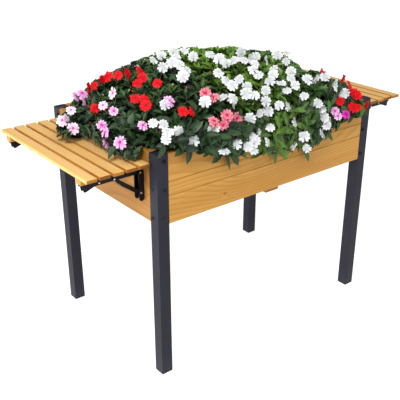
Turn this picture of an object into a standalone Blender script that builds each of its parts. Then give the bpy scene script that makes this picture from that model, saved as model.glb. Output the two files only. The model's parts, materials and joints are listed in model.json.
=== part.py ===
"""A raised planter of softwood boards between four square steel legs, with a slatted shelf on
folding brackets at each end and six busy plants that overflow the bed.

Metres, +Z up, +X along the length, -Y is the front. The origin is on the ground at the middle
of the four feet. The same sizes serve both ends: u is the distance from the middle along X, and
side is -1 for the left end and +1 for the right end.
"""

import math

import bmesh
import bpy
from mathutils import Matrix, Vector, noise

MM = 0.001
GAP = 0.3 * MM

# The frame: four legs at the corners of the bed
LENGTH = 928 * MM
WIDTH = 612 * MM
HEIGHT = 760 * MM
LEG = 40 * MM
LEG_WALL = 2 * MM
LEG_CORNER = 1.5 * MM
LEG_RIM = 4 * MM
LEG_DISH = 2 * MM
LEG_TOP_PLATE = 6 * MM
FOOT_FLANGE = 4 * MM
FOOT_PLUG = 22 * MM

# The bed: three boards a side, a floor, corner posts and a cross bar
BOARD = 15 * MM
BOARD_RECESS = 0.5 * MM
BOARD_EDGE = 1 * MM
RIM_Z = 759.5 * MM
SEAMS_Z = (671.5 * MM, 626 * MM)
SIDE_BOTTOM_Z = 536 * MM
END_BOTTOM_Z = 540 * MM
FLOOR = 12 * MM
DRAIN_RADIUS = 6 * MM
CROSS_BAR = Vector((56, 600, 12)) * MM
POST_TOP_Z = 757 * MM
POST_LONG_U = 384 * MM
POST_LONG_V = 254 * MM
POST_SHORT_U = 430 * MM
POST_SHORT_V = 210 * MM
LINER = 2 * MM
LINER_TOP_Z = 748 * MM
SOIL_Z = 735 * MM

# The shelves: five slats on two battens
SLATS = 5
SLAT = Vector((35, 548, 11)) * MM
SLAT_PITCH = 43.1 * MM
SLAT_EDGE = 2 * MM
SHELF_INNER_U = 464.6 * MM
SHELF_TOP_Z = 728 * MM
BRACKET_Y = 225 * MM
BATTEN_U = (468 * MM, 671 * MM)
BATTEN_WIDTH = 26 * MM
BATTEN_Z = (700.3 * MM, 716.7 * MM)

# The folding brackets: a wall plate, an arm and a strut of folded 2 mm steel
STEEL = 2 * MM
PLATE_HALF = 13 * MM
PLATE_DEPTH = 18 * MM
PLATE_Z = (600 * MM, 696 * MM)
PLATE_U = LENGTH / 2 - BOARD_RECESS + GAP
ARM_PIVOT = Vector((476, 692)) * MM
ARM_HALF = 8.4 * MM
ARM_TOP_Z = 700 * MM
ARM_BELOW = 5 * MM
ARM_END_U = 668 * MM
ARM_TAIL = ((0, 694), (6, 690), (8, 677), (15, 676), (44, 687))
STRUT_PIVOT = Vector((475, 627)) * MM
STRUT_TOP = Vector((562, 692)) * MM
STRUT_HALF = 10.7 * MM
STRUT_EDGE = 4.5 * MM
STRUT_WEB = 8.2 * MM
STRUT_WEB_START = 8 * MM
STRUT_WEB_ENDS = (30 * MM, 24 * MM)
RIVET = 2.5 * MM
RIVET_HEAD = 3.4 * MM
RIVET_PROUD = 1.2 * MM

# The plants: one dome over the bed, that hangs over its front edge and the left shelf
DOME_REACH_Y = 340 * MM
DOME_BASE_Z = 762 * MM
DOME_HEIGHTS = (
    (-565, 22), (-500, 48), (-450, 82), (-330, 142), (-170, 182), (0, 184),
    (150, 162), (300, 120), (400, 74), (470, 40), (500, 26),
)
SKIRT_DEPTHS = (
    (-430, 10), (-357, 52), (-300, 62), (-195, 116), (-100, 84), (0, 128), (90, 116),
    (164, 172), (230, 120), (333, 56), (440, 30),
)
SKIRT_Y = (-340 * MM, -326 * MM, -312 * MM, -309 * MM)
PLANT_STOPS_X = (-560, -512, -470, -467, -447, -380, -350, 350, 380, 450, 467, 470, 490)
PLANT_STOPS_Y = (-340, -326, -312, -309, -255, -225, 225, 255, 309, 340)
PLANT_COLUMNS = (-560 * MM, -155 * MM, 145 * MM, 490 * MM)
PLANT_IN_FRONT = (-430 * MM, 440 * MM)
PLANT_OVER_SHELF = 469 * MM
PLANT_BRIM = 14 * MM
BED_SLOPE = 30 * MM
BED_FLAT = Vector((350, 225)) * MM
DOME_MARGIN = 15 * MM
SKIRT_FALL = 0.75
PLANT_GRID = 26 * MM
PLANT_GAP = 0.5 * MM
LEAST_THICKNESS = 9 * MM
LUMP = 11 * MM
LUMP_SCALE = 13.0
OVER_SHELF_Z = 737 * MM

# Colours as seen on the object, in linear values: red, green, blue, roughness, metallic
STEEL_BLUE_BLACK = (0.030, 0.032, 0.042, 0.45, 0.6)
PLASTIC_BLACK = (0.010, 0.010, 0.012, 0.5, 0.0)
BOARD_PINE = (0.56, 0.32, 0.09, 0.55, 0.0)
SHELF_PINE = (0.72, 0.46, 0.18, 0.5, 0.0)
BRACKET_BLACK = (0.008, 0.008, 0.010, 0.4, 0.7)
CLOTH_BLACK = (0.012, 0.012, 0.012, 0.9, 0.0)
SOIL_BROWN = (0.045, 0.026, 0.015, 0.95, 0.0)
LEAF_GREEN = (0.030, 0.085, 0.025, 0.5, 0.0)

SIDES = {"left": -1, "right": 1}
FACES = {"front": -1, "rear": 1}


def clear_scene():
    """Removes the objects that the new scene starts with."""
    for obj in list(bpy.data.objects):
        bpy.data.objects.remove(obj, do_unlink=True)


def finish(name, finish_values):
    """A material of its own for one piece."""
    red, green, blue, roughness, metallic = finish_values
    material = bpy.data.materials.new(f"{name}_finish")
    material.use_nodes = True
    shader = material.node_tree.nodes["Principled BSDF"]
    shader.inputs["Base Color"].default_value = (red, green, blue, 1)
    shader.inputs["Roughness"].default_value = roughness
    shader.inputs["Metallic"].default_value = metallic
    return material


def add_object(name, mesh, finish_values=None, parent=None):
    """Puts a mesh in the scene. Its points are in world space, also where it has a parent."""
    obj = bpy.data.objects.new(name, mesh)
    bpy.context.scene.collection.objects.link(obj)
    if finish_values:
        mesh.materials.append(finish(name, finish_values))
    if parent:
        mesh.transform(Matrix.Translation(-parent.location))
        obj.parent = parent
    return obj


def mesh_from(name, points, faces):
    """A mesh whose faces all point outwards."""
    build = bmesh.new()
    corners = [build.verts.new(point) for point in points]
    for face in faces:
        build.faces.new([corners[i] for i in face])
    bmesh.ops.recalc_face_normals(build, faces=build.faces)
    mesh = bpy.data.meshes.new(name)
    build.to_mesh(mesh)
    build.free()
    return mesh


def prism(name, outline, axis, start, end):
    """A flat outline pushed along an axis. For axis Z the outline is (x, y), for Y it is (x, z)."""
    def place(point, along):
        return (*point, along) if axis == "Z" else (point[0], along, point[1])

    count = len(outline)
    points = [place(p, start) for p in outline] + [place(p, end) for p in outline]
    sides = [(i, (i + 1) % count, (i + 1) % count + count, i + count) for i in range(count)]
    faces = [tuple(range(count)), tuple(range(count, 2 * count)), *sides]
    return mesh_from(name, points, faces)


def box(name, low, high):
    """A block between two corners, given in any order."""
    xs, ys, zs = (sorted(pair) for pair in zip(low, high))
    outline = [(xs[0], ys[0]), (xs[1], ys[0]), (xs[1], ys[1]), (xs[0], ys[1])]
    return prism(name, outline, "Z", zs[0], zs[1])


def rod(name, centre, radius, start, end, sides=16):
    """A round bar along Y at centre, which is (x, z)."""
    turn = [2 * math.pi * i / sides for i in range(sides)]
    outline = [(centre[0] + radius * math.cos(a), centre[1] + radius * math.sin(a)) for a in turn]
    return prism(name, outline, "Y", start, end)


def joined(name, meshes):
    """Several meshes as one, for a helper that adds or cuts several shapes at once."""
    build = bmesh.new()
    for mesh in meshes:
        build.from_mesh(mesh)
    whole = bpy.data.meshes.new(name)
    build.to_mesh(whole)
    build.free()
    return whole


def combine(obj, mesh, operation):
    """Adds or cuts a helper shape with a live Boolean."""
    helper = add_object(f"{obj.name}_{operation.lower()}_{len(obj.modifiers)}", mesh)
    helper.parent = obj.parent
    if obj.parent:
        mesh.transform(Matrix.Translation(-obj.parent.location))
    helper.hide_render = True
    helper.display_type = "WIRE"
    modifier = obj.modifiers.new(operation.title(), "BOOLEAN")
    modifier.operation = operation
    modifier.object = helper


def soften(obj, width, segments=1):
    """Rounds the sharp edges of a piece."""
    modifier = obj.modifiers.new("Edges", "BEVEL")
    modifier.width = width
    modifier.segments = segments
    modifier.limit_method = "ANGLE"
    modifier.angle_limit = math.radians(60)


def axis_empty(name, side, pivot):
    """The turning axis of a moving group, along Y."""
    empty = bpy.data.objects.new(name, None)
    empty.location = (side * pivot.x, 0, pivot.y)
    bpy.context.scene.collection.objects.link(empty)
    return empty


def between(table, value):
    """The height at a place, read smoothly from a short table of millimetres."""
    place = value / MM
    if place <= table[0][0]:
        return table[0][1] * MM
    for (x0, h0), (x1, h1) in zip(table, table[1:]):
        if place <= x1:
            part = (place - x0) / (x1 - x0)
            part = part * part * (3 - 2 * part)
            return (h0 + (h1 - h0) * part) * MM
    return table[-1][1] * MM


def build_leg(name, sx, sy):
    """A square tube with a closed, dished top, open below for its foot."""
    corner = Vector((sx * LENGTH / 2, sy * WIDTH / 2))
    inner = corner - Vector((sx, sy)) * LEG
    low = (*corner, FOOT_FLANGE + GAP)
    high = (*inner, HEIGHT)
    leg = add_object(name, box(name, low, high), STEEL_BLUE_BLACK)
    soften(leg, LEG_CORNER, 2)
    wall = Vector((sx, sy)) * LEG_WALL
    bore_top = HEIGHT - LEG_TOP_PLATE
    bore = box(f"{name}_bore", (*(corner - wall), -LEG), (*(inner + wall), bore_top))
    rim = Vector((sx, sy)) * LEG_RIM
    dish_low = (*(corner - rim), HEIGHT - LEG_DISH)
    dish = box(f"{name}_dish", dish_low, (*(inner + rim), HEIGHT + LEG_DISH))
    combine(leg, joined(f"{name}_hollows", [bore, dish]), "DIFFERENCE")


def build_foot(name, sx, sy):
    """A plastic foot: a flange under the tube and a plug inside it."""
    corner = Vector((sx * LENGTH / 2, sy * WIDTH / 2))
    inner = corner - Vector((sx, sy)) * LEG
    foot = add_object(name, box(name, (*corner, 0), (*inner, FOOT_FLANGE)), PLASTIC_BLACK)
    soften(foot, 1 * MM)
    inset = Vector((sx, sy)) * (LEG_WALL + GAP)
    plug_low = (*(corner - inset), FOOT_FLANGE / 2)
    plug = box(f"{name}_plug", plug_low, (*(inner + inset), FOOT_FLANGE + FOOT_PLUG))
    combine(foot, plug, "UNION")


def build_board(name, low, high):
    """One board with eased edges, which show as grooves between the boards."""
    board = add_object(name, box(name, low, high), BOARD_PINE)
    soften(board, BOARD_EDGE)


def build_side(face, sy):
    """Three boards between the legs at the front or the rear."""
    outer = sy * (WIDTH / 2 - BOARD_RECESS)
    inner = outer - sy * BOARD
    end = LENGTH / 2 - LEG - GAP
    heights = (RIM_Z, *SEAMS_Z, SIDE_BOTTOM_Z)
    for row, (top, bottom) in zip(("top", "middle", "bottom"), zip(heights, heights[1:])):
        low = (-end, outer, bottom + (GAP if row != "bottom" else 0))
        build_board(f"{face}_board_{row}", low, (end, inner, top))


def build_end(side_name, side):
    """Three boards between the legs at the left or the right end."""
    outer = side * (LENGTH / 2 - BOARD_RECESS)
    inner = outer - side * BOARD
    end = WIDTH / 2 - LEG - GAP
    heights = (RIM_Z, *SEAMS_Z, END_BOTTOM_Z)
    for row, (top, bottom) in zip(("top", "middle", "bottom"), zip(heights, heights[1:])):
        low = (outer, -end, bottom + (GAP if row != "bottom" else 0))
        build_board(f"{side_name}_board_{row}", low, (inner, end, top))


def post_outline(sx, sy, grow):
    """The corner post's outline, an L that clasps the leg; grow sets a cover round its inner faces."""
    leg_u = LENGTH / 2 - LEG - GAP
    leg_v = WIDTH / 2 - LEG - GAP
    wall_u = LENGTH / 2 - BOARD_RECESS - BOARD - GAP
    wall_v = WIDTH / 2 - BOARD_RECESS - BOARD - GAP
    points = [
        (POST_LONG_U - grow, wall_v), (leg_u, wall_v), (leg_u, leg_v), (wall_u, leg_v),
        (wall_u, POST_SHORT_V - grow), (POST_SHORT_U - grow, POST_SHORT_V - grow),
        (POST_SHORT_U - grow, POST_LONG_V - grow), (POST_LONG_U - grow, POST_LONG_V - grow),
    ]
    return [(sx * u, sy * v) for u, v in points]


def build_post(name, sx, sy):
    """A rebated post behind the board ends, which the leg's bolts screw into."""
    bottom = SIDE_BOTTOM_Z + FLOOR + 2 * GAP
    mesh = prism(name, post_outline(sx, sy, 0), "Z", bottom, POST_TOP_Z)
    add_object(name, mesh, BOARD_PINE)


def inner_outline(inset):
    """The inside of the bed, seen from above, round the four posts."""
    quarter = [
        (POST_LONG_U - inset, WIDTH / 2 - BOARD_RECESS - BOARD - inset),
        (POST_LONG_U - inset, POST_LONG_V - inset),
        (POST_SHORT_U - inset, POST_LONG_V - inset),
        (POST_SHORT_U - inset, POST_SHORT_V - inset),
        (LENGTH / 2 - BOARD_RECESS - BOARD - inset, POST_SHORT_V - inset),
    ]
    outline = list(quarter)
    outline += [(u, -v) for u, v in reversed(quarter)]
    outline += [(-u, -v) for u, v in quarter]
    outline += [(-u, v) for u, v in reversed(quarter)]
    return outline


def build_floor():
    """The floor board, notched round the legs, with two rows of drain holes."""
    wall_u = LENGTH / 2 - BOARD_RECESS - BOARD - GAP
    wall_v = WIDTH / 2 - BOARD_RECESS - BOARD - GAP
    leg_u = LENGTH / 2 - LEG - GAP
    leg_v = WIDTH / 2 - LEG - GAP
    quarter = [(leg_u, wall_v), (leg_u, leg_v), (wall_u, leg_v)]
    outline = list(quarter)
    outline += [(u, -v) for u, v in reversed(quarter)]
    outline += [(-u, -v) for u, v in quarter]
    outline += [(-u, v) for u, v in reversed(quarter)]
    bottom = SIDE_BOTTOM_Z + GAP
    mesh = prism("floor_board", outline, "Z", bottom, bottom + FLOOR)
    floor = add_object("floor_board", mesh, BOARD_PINE)
    holes = []
    for column in (-3, -1, 1, 3):
        for row in (-1, 1):
            centre = Vector((column * LENGTH / 9, row * WIDTH / 5))
            turn = [2 * math.pi * i / 12 for i in range(12)]
            ring = [centre + DRAIN_RADIUS * Vector((math.cos(a), math.sin(a))) for a in turn]
            holes.append(prism("drain_hole", ring, "Z", bottom - FLOOR, bottom + 2 * FLOOR))
    combine(floor, joined("drain_holes", holes), "DIFFERENCE")


def build_cross_bar():
    """A flat bar under the middle of the bed, whose end shows below the front boards."""
    top = SIDE_BOTTOM_Z - GAP
    low = (-CROSS_BAR.x / 2, -CROSS_BAR.y / 2, top - CROSS_BAR.z)
    bar = add_object("cross_bar", box("cross_bar", low, (CROSS_BAR.x / 2, CROSS_BAR.y / 2, top)),
                     BOARD_PINE)
    soften(bar, BOARD_EDGE)


def build_liner():
    """A cloth tray that keeps the soil off the wood."""
    bottom = SIDE_BOTTOM_Z + FLOOR + 2 * GAP
    mesh = prism("liner", inner_outline(2 * GAP), "Z", bottom, LINER_TOP_Z)
    liner = add_object("liner", mesh, CLOTH_BLACK)
    hollow = inner_outline(2 * GAP + LINER)
    combine(liner, prism("liner_hollow", hollow, "Z", bottom + LINER, HEIGHT), "DIFFERENCE")


def build_soil():
    """The soil, as one block inside the liner."""
    bottom = SIDE_BOTTOM_Z + FLOOR + LINER + 3 * GAP
    outline = inner_outline(3 * GAP + LINER)
    add_object("soil", prism("soil", outline, "Z", bottom, SOIL_Z), SOIL_BROWN)


def build_slat(name, side, row, parent):
    """One slat of a shelf, counted from the bed outwards."""
    u = SHELF_INNER_U + row * SLAT_PITCH
    low = (side * u, -SLAT.y / 2, SHELF_TOP_Z - SLAT.z)
    high = (side * (u + SLAT.x), SLAT.y / 2, SHELF_TOP_Z)
    slat = add_object(name, box(name, low, high), SHELF_PINE, parent)
    soften(slat, SLAT_EDGE, 2)


def build_batten(name, side, y, parent):
    """The wooden bar between a bracket's arm and the slats."""
    low = (side * BATTEN_U[0], y - BATTEN_WIDTH / 2, BATTEN_Z[0])
    high = (side * BATTEN_U[1], y + BATTEN_WIDTH / 2, BATTEN_Z[1])
    batten = add_object(name, box(name, low, high), SHELF_PINE, parent)
    soften(batten, BOARD_EDGE)


def arc(centre, radius, start, end, steps=6):
    """Points on an arc, from one angle to another in degrees."""
    angles = [math.radians(start + (end - start) * i / steps) for i in range(steps + 1)]
    return [(centre[0] + radius * math.cos(a), centre[1] + radius * math.sin(a)) for a in angles]


def mirrored(outline, side):
    """An outline in (u, z) as (x, z) at one end of the bed."""
    return [(side * u, z) for u, z in outline]


def build_wall_plate(name, side, y):
    """The channel on the end boards, with its pivot pin above and two stub rivets below."""
    far_u = PLATE_U + PLATE_DEPTH
    radius = PLATE_DEPTH / 2
    lobe = arc((PLATE_U + radius, PLATE_Z[0] + radius), radius, 0, -180, 8)
    outline = mirrored([(PLATE_U, PLATE_Z[1]), (far_u, PLATE_Z[1]), *lobe], side)
    mesh = prism(name, outline, "Y", y - PLATE_HALF, y + PLATE_HALF)
    plate = add_object(name, mesh, BRACKET_BLACK)
    inner = PLATE_HALF - STEEL
    low = (side * (PLATE_U + STEEL), y - inner, PLATE_Z[0] - PLATE_DEPTH)
    high = (side * (far_u + PLATE_DEPTH), y + inner, PLATE_Z[1] + PLATE_DEPTH)
    combine(plate, box(f"{name}_channel", low, high), "DIFFERENCE")
    top = (side * ARM_PIVOT.x, ARM_PIVOT.y)
    foot = (side * STRUT_PIVOT.x, STRUT_PIVOT.y)
    shank = PLATE_HALF + RIVET_PROUD / 2
    rivets = [rod(f"{name}_pin", top, RIVET, y - shank, y + shank)]
    stub_end = ARM_HALF + 2 * GAP
    for way in (-1, 1):
        ends = sorted((y + way * shank, y + way * stub_end))
        rivets.append(rod(f"{name}_stub", foot, RIVET, *ends))
    combine(plate, joined(f"{name}_rivets", rivets), "UNION")
    heads = []
    for way in (-1, 1):
        ends = sorted((y + way * (PLATE_HALF - STEEL / 2), y + way * (PLATE_HALF + RIVET_PROUD)))
        heads += [rod(f"{name}_head", centre, RIVET_HEAD, *ends) for centre in (top, foot)]
    combine(plate, joined(f"{name}_heads", heads), "UNION")


def build_arm(name, side, y, parent):
    """The shelf's arm: a channel open below, with the release tail at its outer end."""
    tail = [(ARM_END_U - inwards * MM, height * MM) for inwards, height in ARM_TAIL]
    heel = arc(ARM_PIVOT, ARM_BELOW, -90, -180)
    outline = [(heel[-1][0], ARM_TOP_Z), (ARM_END_U, ARM_TOP_Z), *tail, *heel]
    mesh = prism(name, mirrored(outline, side), "Y", y - ARM_HALF, y + ARM_HALF)
    arm = add_object(name, mesh, BRACKET_BLACK, parent)
    inner = ARM_HALF - STEEL
    low = (side * (ARM_PIVOT.x - LEG), y - inner, ARM_PIVOT.y - LEG)
    high = (side * (ARM_END_U + LEG), y + inner, ARM_TOP_Z - STEEL)
    channel = box(f"{name}_channel", low, high)
    combine(arm, channel, "DIFFERENCE")
    centre = (side * ARM_PIVOT.x, ARM_PIVOT.y)
    bore = rod(f"{name}_bore", centre, RIVET + GAP, y - 2 * ARM_HALF, y + 2 * ARM_HALF)
    combine(arm, bore, "DIFFERENCE")


def build_strut(name, side, y, parent):
    """The diagonal strut: a channel open above, round at both ends, that straddles the arm."""
    line = STRUT_TOP - STRUT_PIVOT
    length = line.length
    along = line / length
    under = Vector((along.y, -along.x))

    def place(outline):
        points = [STRUT_PIVOT + along * s + under * n for s, n in outline]
        return mirrored([tuple(point) for point in points], side)

    heel = arc((0, 0), STRUT_EDGE, 270, 90)
    toe = arc((length, 0), STRUT_EDGE, 90, -90)
    web_end, edge_end = (length - distance for distance in STRUT_WEB_ENDS)
    web = [(STRUT_WEB_START, STRUT_WEB), (web_end, STRUT_WEB), (edge_end, STRUT_EDGE)]
    outline = place([*heel, *web, *toe])
    strut = add_object(name, prism(name, outline, "Y", y - STRUT_HALF, y + STRUT_HALF),
                       BRACKET_BLACK, parent)
    inner = STRUT_HALF - STEEL
    trough = [(-LEG, -LEG), (length + LEG, -LEG), (length + LEG, STRUT_WEB - STEEL),
              (-LEG, STRUT_WEB - STEEL)]
    cut = prism(f"{name}_trough", place(trough), "Y", y - inner, y + inner)
    combine(strut, cut, "DIFFERENCE")
    centre = (side * STRUT_PIVOT.x, STRUT_PIVOT.y)
    bore = rod(f"{name}_bore", centre, RIVET + GAP, y - 2 * STRUT_HALF, y + 2 * STRUT_HALF)
    combine(strut, bore, "DIFFERENCE")


def build_shelf(side_name, side):
    """One folding shelf with its two brackets."""
    shelf_axis = axis_empty(f"{side_name}_shelf_axis", side, ARM_PIVOT)
    strut_axis = axis_empty(f"{side_name}_strut_axis", side, STRUT_PIVOT)
    for row in range(SLATS):
        build_slat(f"{side_name}_slat_{row + 1}", side, row, shelf_axis)
    for face, sy in FACES.items():
        y = sy * BRACKET_Y
        build_batten(f"{side_name}_batten_{face}", side, y, shelf_axis)
        build_wall_plate(f"{side_name}_wall_plate_{face}", side, y)
        build_arm(f"{side_name}_arm_{face}", side, y, shelf_axis)
        build_strut(f"{side_name}_strut_{face}", side, y, strut_axis)


def plant_left_edge(y):
    """How far the plants reach over the left shelf at a place along the width."""
    if 20 * MM < y < 175 * MM:
        return -560 * MM
    if -235 * MM < y <= 20 * MM:
        return -512 * MM
    return -447 * MM


def plant_right_edge(y):
    """How far the plants reach over the right shelf at a place along the width."""
    return (490 if -200 * MM < y < 120 * MM else 450) * MM


def plant_bottom(x, y):
    """The underside of the plants: on the soil, over the rim, over the shelves, and down in front."""
    if y <= SKIRT_Y[2]:
        return RIM_Z - between(SKIRT_DEPTHS, x)
    if abs(x) >= PLANT_OVER_SHELF:
        return OVER_SHELF_Z
    rise_x = (abs(x) - BED_FLAT.x) / BED_SLOPE
    rise_y = (abs(y) - BED_FLAT.y) / BED_SLOPE
    rise = min(1, max(0, rise_x, rise_y))
    return SOIL_Z + GAP + rise * (DOME_BASE_Z - SOIL_Z - GAP)


def plant_top(x, y):
    """The outer surface of the plants, a lumpy dome."""
    reach = min(0.999, abs(y) / (DOME_REACH_Y + DOME_MARGIN))
    dome = between(DOME_HEIGHTS, x) * (1 - reach ** 2.4) ** 0.62
    lump = LUMP * noise.noise(Vector((x, y, 0)) * LUMP_SCALE)
    if y <= SKIRT_Y[2]:
        fall = (SKIRT_Y[2] - y) / (SKIRT_Y[2] - SKIRT_Y[0])
        return DOME_BASE_Z + PLANT_BRIM - fall * between(SKIRT_DEPTHS, x) * SKIRT_FALL
    return DOME_BASE_Z + PLANT_BRIM + dome + lump


def grid_lines(stops, step):
    """Grid lines through every stop, and evenly between them."""
    lines = []
    for start, end in zip(stops, stops[1:]):
        parts = max(1, round((end - start) / step))
        lines += [start + (end - start) * i / parts for i in range(parts)]
    return [*lines, stops[-1]]


def build_plant(name, x_range, y_range):
    """One plant as a closed solid of its outer shape, from its own rows of cells on a grid."""
    x_cut = [x for x in sorted({*(s * MM for s in PLANT_STOPS_X), *x_range})
             if x_range[0] <= x <= x_range[1]]
    y_cut = [y for y in sorted({*(s * MM for s in PLANT_STOPS_Y), *y_range})
             if y_range[0] <= y <= y_range[1]]
    xs = grid_lines(x_cut, PLANT_GRID)
    ys = grid_lines(y_cut, PLANT_GRID)
    build = bmesh.new()
    corners = {}

    def corner(i, j, level):
        if (i, j, level) not in corners:
            x, y = xs[i], ys[j]
            low = plant_bottom(x, y)
            z = low if level == 0 else max(low + LEAST_THICKNESS, plant_top(x, y))
            corners[i, j, level] = build.verts.new((x, y, z))
        return corners[i, j, level]

    def inside(i, j):
        if not (0 <= i < len(xs) - 1 and 0 <= j < len(ys) - 1):
            return False
        x, y = (xs[i] + xs[i + 1]) / 2, (ys[j] + ys[j + 1]) / 2
        in_front = y < SKIRT_Y[3]
        if in_front:
            return PLANT_IN_FRONT[0] < x < PLANT_IN_FRONT[1]
        return plant_left_edge(y) < x < plant_right_edge(y)

    for i in range(len(xs) - 1):
        for j in range(len(ys) - 1):
            if not inside(i, j):
                continue
            square = [(i, j), (i + 1, j), (i + 1, j + 1), (i, j + 1)]
            build.faces.new([corner(*at, 1) for at in square])
            build.faces.new([corner(*at, 0) for at in reversed(square)])
            beside = [(i, j - 1), (i + 1, j), (i, j + 1), (i - 1, j)]
            for edge, other in enumerate(beside):
                if not inside(*other):
                    a, b = square[edge], square[(edge + 1) % 4]
                    wall = [corner(*a, 0), corner(*b, 0), corner(*b, 1), corner(*a, 1)]
                    build.faces.new(wall)
    bmesh.ops.recalc_face_normals(build, faces=build.faces)
    mesh = bpy.data.meshes.new(name)
    build.to_mesh(mesh)
    build.free()
    add_object(name, mesh, LEAF_GREEN)


def build_plants():
    """Six plants in two rows of three, whose crowns press against each other."""
    rows = {"front": (-DOME_REACH_Y, -PLANT_GAP), "rear": (PLANT_GAP, DOME_REACH_Y)}
    for column, place in enumerate(("left", "middle", "right")):
        start = PLANT_COLUMNS[column] + PLANT_GAP * (column > 0)
        x_range = (start, PLANT_COLUMNS[column + 1] - PLANT_GAP)
        for face, y_range in rows.items():
            build_plant(f"plant_{face}_{place}", x_range, y_range)


def main():
    clear_scene()
    for face, sy in FACES.items():
        build_side(face, sy)
        for side_name, sx in SIDES.items():
            build_leg(f"leg_{face}_{side_name}", sx, sy)
            build_foot(f"foot_{face}_{side_name}", sx, sy)
            build_post(f"corner_post_{face}_{side_name}", sx, sy)
    build_floor()
    build_cross_bar()
    build_liner()
    build_soil()
    for side_name, side in SIDES.items():
        build_end(side_name, side)
        build_shelf(side_name, side)
    build_plants()


main()
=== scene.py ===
"""The finished look of a raised planter of pine boards on square steel legs, with a folding slatted
shelf at each end and six busy lizzies in flower. Metres, +Z up, -Y is the front.
"""

import json
import logging
import math
import random
from collections.abc import Callable, Iterator, Sequence
from contextlib import contextmanager
from dataclasses import dataclass, field
from enum import Enum
from typing import Any

import bmesh
import bpy
import numpy as np
from mathutils import Matrix, Vector
from mathutils.bvhtree import BVHTree
from mathutils.kdtree import KDTree


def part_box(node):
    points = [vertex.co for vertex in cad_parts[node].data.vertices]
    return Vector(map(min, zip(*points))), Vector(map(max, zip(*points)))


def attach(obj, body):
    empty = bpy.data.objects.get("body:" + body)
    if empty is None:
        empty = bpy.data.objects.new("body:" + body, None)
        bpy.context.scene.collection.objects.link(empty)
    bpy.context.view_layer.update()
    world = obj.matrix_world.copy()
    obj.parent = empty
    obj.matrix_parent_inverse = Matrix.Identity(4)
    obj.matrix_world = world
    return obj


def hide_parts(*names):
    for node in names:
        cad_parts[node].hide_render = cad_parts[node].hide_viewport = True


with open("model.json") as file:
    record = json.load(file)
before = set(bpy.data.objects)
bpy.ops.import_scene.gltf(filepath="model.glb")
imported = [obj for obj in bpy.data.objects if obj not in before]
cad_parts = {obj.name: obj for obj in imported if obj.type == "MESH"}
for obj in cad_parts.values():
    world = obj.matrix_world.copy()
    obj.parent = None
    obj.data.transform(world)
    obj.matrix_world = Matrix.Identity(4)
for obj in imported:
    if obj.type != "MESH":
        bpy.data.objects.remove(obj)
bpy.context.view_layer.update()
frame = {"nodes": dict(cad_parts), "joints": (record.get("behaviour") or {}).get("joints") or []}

LOG = logging.getLogger("planter")
MM = 0.001
UP = Vector((0, 0, 1))
Colour = tuple[float, float, float, float]


def srgb(red: float, green: float, blue: float) -> Colour:
    """A colour as a screen shows it, 0 to 255, in the linear values that shaders take.

    Args:
        red: The red level.
        green: The green level.
        blue: The blue level.

    Returns:
        The colour, with its alpha.
    """
    def linear(level: float) -> float:
        """One channel's linear value."""
        part = level / 255
        return part / 12.92 if part <= 0.04045 else ((part + 0.055) / 1.055) ** 2.4

    return (linear(red), linear(green), linear(blue), 1.0)


class Way(Enum):
    """A way out from the middle of the bed."""

    @property
    def word(self) -> str:
        """The way's name in the names of pieces."""
        return self.name.lower()


class Side(Way):
    """The two ends of the bed, with the sign of their X."""

    LEFT = -1
    RIGHT = 1


class Face(Way):
    """The front and the rear, with the sign of their Y."""

    FRONT = -1
    REAR = 1


class Wire:
    """A number on its way through a material, which Python's operators carry on with Math nodes."""

    def __init__(self, tree: bpy.types.NodeTree, socket: bpy.types.NodeSocket) -> None:
        """Wraps an output socket."""
        self.tree = tree
        self.socket = socket

    def step(self, operation: str, *others: "Wire | float", first: bool = True) -> "Wire":
        """Adds one Math node.

        Args:
            operation: The Math node's operation.
            others: The other numbers, as wires or plain values.
            first: Whether this wire is the first operand, and not the second.

        Returns:
            The node's result.
        """
        node = self.tree.nodes.new("ShaderNodeMath")
        node.operation = operation
        operands = [self, *others] if first else [*others, self]
        for place, operand in enumerate(operands):
            if isinstance(operand, Wire):
                self.tree.links.new(operand.socket, node.inputs[place])
            else:
                node.inputs[place].default_value = operand
        return Wire(self.tree, node.outputs[0])

    def __add__(self, other: "Wire | float") -> "Wire":
        """This plus other."""
        return self.step("ADD", other)

    __radd__ = __add__

    def __sub__(self, other: "Wire | float") -> "Wire":
        """This minus other."""
        return self.step("SUBTRACT", other)

    def __rsub__(self, other: float) -> "Wire":
        """Other minus this."""
        return self.step("SUBTRACT", other, first=False)

    def __mul__(self, other: "Wire | float") -> "Wire":
        """This times other."""
        return self.step("MULTIPLY", other)

    __rmul__ = __mul__

    def __truediv__(self, other: "Wire | float") -> "Wire":
        """This over other."""
        return self.step("DIVIDE", other)

    def __pow__(self, other: "Wire | float") -> "Wire":
        """This to the power of other."""
        return self.step("POWER", other)

    def between(self, low: float, high: float) -> "Wire":
        """Rises smoothly from 0 at low to 1 at high.

        Args:
            low: Where the rise starts.
            high: Where it ends.

        Returns:
            The node's result.
        """
        node = self.tree.nodes.new("ShaderNodeMapRange")
        node.interpolation_type = "SMOOTHSTEP"
        self.tree.links.new(self.socket, node.inputs[0])
        node.inputs[1].default_value = low
        node.inputs[2].default_value = high
        return Wire(self.tree, node.outputs[0])


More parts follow.
